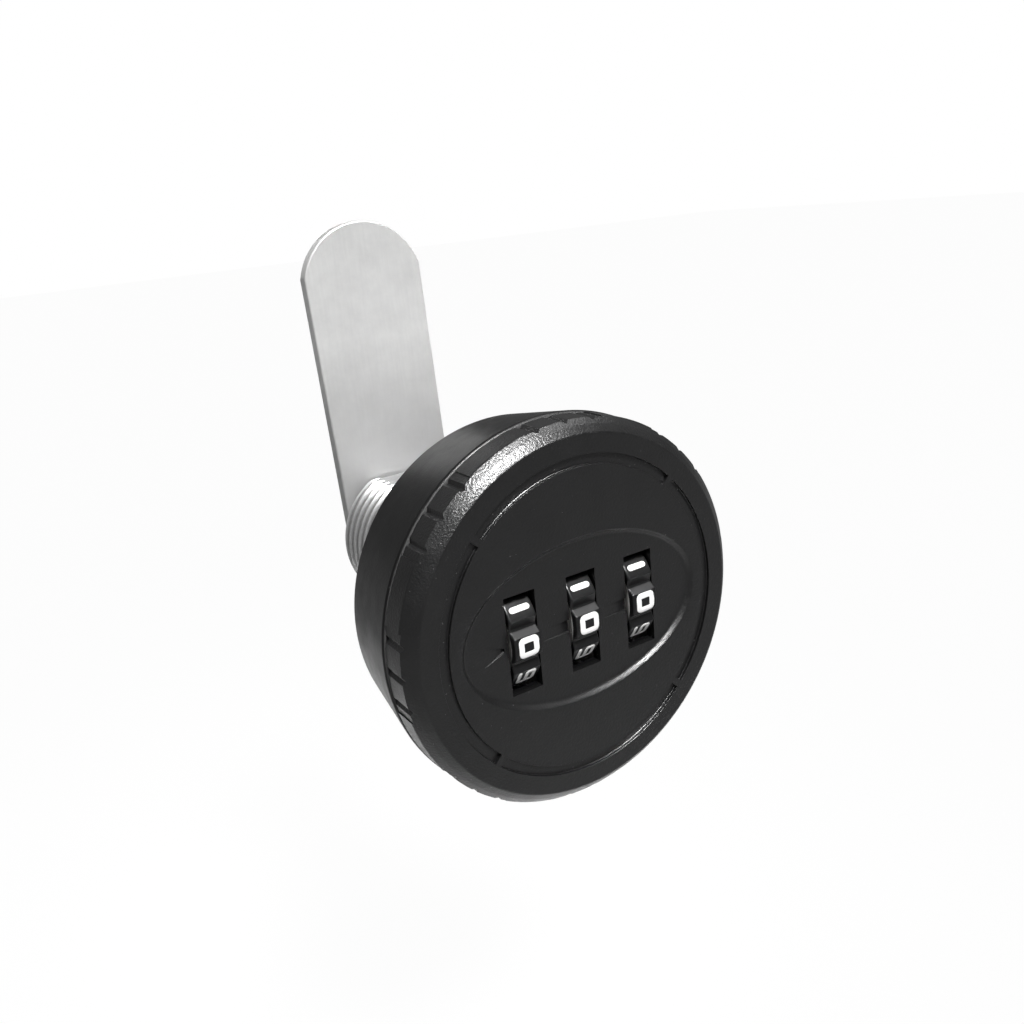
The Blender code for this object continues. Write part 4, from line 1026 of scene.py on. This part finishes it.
def make_numerals(side, x):
    """All ten numerals of a dial in one piece."""
    bm = bmesh.new()
    for digit in STROKES:
        bm.from_mesh(numeral_mesh(digit, x))
    bmesh.ops.recalc_face_normals(bm, faces=bm.faces)
    mesh = bpy.data.meshes.new("numerals_" + side)
    bm.to_mesh(mesh)
    bm.free()
    show("numerals_" + side, mesh, NUMERAL_WHITE, "dial_" + side, (), 40)


# Cam and its fastening


def cam_outline():
    """Half a circle round the shaft, straight sides and a flatter arc at the tip."""
    half = CAM_WIDTH / 2
    steps = 48
    points = [ring_point(half, pi + pi * i / steps, 0).xz for i in range(steps + 1)]
    centre = CAM_REACH - CAM_TIP_RADIUS
    corner = acos(half / CAM_TIP_RADIUS)
    for i in range(steps + 1):
        a = corner + (pi - 2 * corner) * i / steps
        points.append((CAM_TIP_RADIUS * cos(a), centre + CAM_TIP_RADIUS * sin(a)))
    return [tuple(p) for p in points]


def make_cam():
    """The flat plate, turned by its slight lean, with the square hole for the shaft."""
    plate = slab("cam_plate", cam_outline(), CAM_FRONT, CAM_BACK, CAM_RIM_ROUND, 3)
    plate.transform(Matrix.Rotation(-CAM_LEAN, 4, "Y"))
    hole = blocks("square_hole", [(
        (-TENON_HALF, CAM_FRONT - MM, -TENON_HALF), (TENON_HALF, CAM_BACK + MM, TENON_HALF),
    )])
    mesh = carved("cam_plate", plate, [("DIFFERENCE", hole)])
    show("cam_plate", mesh, CAM_PLATE, "knob", ["cam"], 40, even=True)


def make_washer():
    """Plain washer with rounded outer edges."""
    outline = [
        (WASHER_BORE, WASHER_FRONT), (WASHER_RADIUS, WASHER_FRONT),
        (WASHER_RADIUS, WASHER_BACK), (WASHER_BORE, WASHER_BACK),
    ]
    profile = rounded(outline, {1: 0.15 * MM, 2: 0.2 * MM}, 3)
    mesh = turned("plain_washer", profile, 96)
    show("plain_washer", mesh, FASTENER_STEEL, "knob", ["cam_washer"])


def make_cam_screw():
    """Pan head screw with a cross recess."""
    back = SCREW_FRONT + SCREW_HEAD
    dome = SCREW_HEAD * 0.55
    profile = []
    for i in range(9):
        a = pi / 2 * (1 - i / 8)
        profile.append((SCREW_HEAD_RADIUS * cos(a), back - dome * (1 - sin(a))))
    profile += [
        (SCREW_HEAD_RADIUS, SCREW_FRONT),
        (SCREW_RADIUS, SCREW_FRONT),
        (SCREW_RADIUS, SCREW_TIP + SCREW_TIP_CHAMFER),
        (SCREW_RADIUS - SCREW_TIP_CHAMFER, SCREW_TIP),
        (0, SCREW_TIP),
    ]
    arm, half = CROSS_ARM, CROSS_HALF
    deep, out = back - CROSS_DEPTH, back + MM
    slots = [
        ("DIFFERENCE", blocks("slot", [((-arm, deep, -half), (arm, out, half))])),
        ("DIFFERENCE", blocks("slot", [((-half, deep, -arm), (half, out, arm))])),
    ]
    mesh = carved("pan_head_screw", turned("pan_head_screw", profile, 64), slots)
    show("pan_head_screw", mesh, FASTENER_STEEL, "knob", ["cam_screw"])


def make_bolt_coil(side):
    """A copy of the bolt's coil spring, joined up, with a mesh of its own."""
    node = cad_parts["bolt_spring_" + side]
    bm = bmesh.new()
    bm.from_mesh(node.data)
    bmesh.ops.transform(bm, matrix=node.matrix_world, verts=bm.verts)
    bmesh.ops.remove_doubles(bm, verts=bm.verts, dist=COIL_WELD)
    name = "bolt_coil_" + side
    nodes = ["bolt_spring_" + side]
    coil = show(name, store(bm, name), FASTENER_STEEL, "knob", nodes, 60)
    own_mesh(coil)


def dress_inner_nodes():
    """The pieces inside the knob keep their solids and get worked metal."""
    repaint("dial_carriage", INNER_ZINC)
    for side in ("left", "right"):
        make_bolt_coil(side)
    steel = ["dial_axle", "locking_bolt"]
    steel += ["carriage_screw_" + str(number) for number in range(1, 5)]
    steel += ["click_spring_" + side for side in DIAL_X]
    for name in steel:
        repaint(name, FASTENER_STEEL)


def repaint(name, material):
    """Give a solid that stays as it is a finish of this scene."""
    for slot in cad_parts[name].material_slots:
        slot.material = material


def build_lock():
    """All pieces of the lock, in a fixed order."""
    make_knob()
    make_base()
    make_barrel()
    make_nut()
    for side, x in DIAL_X.items():
        make_dial(side, x)
        make_code_disc(side, x)
        make_numerals(side, x)
    make_cam()
    make_washer()
    make_cam_screw()
    dress_inner_nodes()


build_lock()


# Studio


def soft_lamp(name, place, size, power, spread):
    """A rectangular lamp that looks at the lock."""
    data = bpy.data.lights.new(name, "AREA")
    data.shape = "RECTANGLE"
    data.size, data.size_y = size
    data.spread = spread
    data.energy = power
    lamp = bpy.data.objects.new(name, data)
    bpy.context.scene.collection.objects.link(lamp)
    lamp.location = place
    aim = Vector(LAMP_TARGET) - Vector(place)
    lamp.rotation_euler = aim.to_track_quat("-Z", "Y").to_euler()


def seen_white(nodes, links):
    """1 for a ray from the camera or through something clear, else 0."""
    path = nodes.new("ShaderNodeLightPath")
    either = nodes.new("ShaderNodeMath")
    either.operation = "MAXIMUM"
    links.new(path.outputs["Is Camera Ray"], either.inputs[0])
    links.new(path.outputs["Is Transmission Ray"], either.inputs[1])
    return either.outputs["Value"]


def make_world():
    """A dome that grows brighter overhead, white to the camera."""
    world = bpy.data.worlds.new("studio")
    bpy.context.scene.world = world
    world.use_nodes = True
    nodes, links = world.node_tree.nodes, world.node_tree.links
    background = nodes["Background"]
    background.inputs["Color"].default_value = (1, 1, 1, 1)
    split = nodes.new("ShaderNodeSeparateXYZ")
    links.new(nodes.new("ShaderNodeTexCoord").outputs["Generated"], split.inputs["Vector"])
    dome = nodes.new("ShaderNodeMapRange")
    dome.inputs["To Min"].default_value = SKY_LOW
    dome.inputs["To Max"].default_value = SKY_HIGH
    links.new(split.outputs["Z"], dome.inputs["Value"])
    strength = nodes.new("ShaderNodeMapRange")
    strength.inputs["To Max"].default_value = 1.0
    links.new(dome.outputs["Result"], strength.inputs["To Min"])
    links.new(seen_white(nodes, links), strength.inputs["Value"])
    links.new(strength.outputs["Result"], background.inputs["Strength"])


def make_floor():
    """A wide pale floor below the lock, white to the camera and shaded elsewhere."""
    bm = bmesh.new()
    bmesh.ops.create_grid(bm, x_segments=1, y_segments=1, size=FLOOR_HALF)
    bmesh.ops.translate(bm, verts=bm.verts, vec=(0, 0, FLOOR_HEIGHT))
    mesh = bpy.data.meshes.new("floor")
    bm.to_mesh(mesh)
    bm.free()
    material = bpy.data.materials.new("studio_floor")
    material.use_nodes = True
    nodes, links = material.node_tree.nodes, material.node_tree.links
    shader = nodes["Principled BSDF"]
    shader.inputs["Base Color"].default_value = (*FLOOR_GREY, 1)
    shader.inputs["Roughness"].default_value = 0.9
    glow = nodes.new("ShaderNodeEmission")
    glow.inputs["Color"].default_value = (1, 1, 1, 1)
    mix = nodes.new("ShaderNodeMixShader")
    share = nodes.new("ShaderNodeMath")
    share.operation = "MULTIPLY"
    share.inputs[1].default_value = FLOOR_WHITE_SHARE
    links.new(seen_white(nodes, links), share.inputs[0])
    links.new(share.outputs["Value"], mix.inputs["Fac"])
    links.new(shader.outputs["BSDF"], mix.inputs[1])
    links.new(glow.outputs["Emission"], mix.inputs[2])
    links.new(mix.outputs["Shader"], nodes["Material Output"].inputs["Surface"])
    put("floor", mesh, material)


def make_studio():
    """World, floor and both lamps."""
    make_world()
    make_floor()
    soft_lamp("lamp_key", **KEY_LAMP)
    soft_lamp("lamp_top", **TOP_LAMP)


make_studio()
bpy.context.scene.view_settings.view_transform = "Standard"
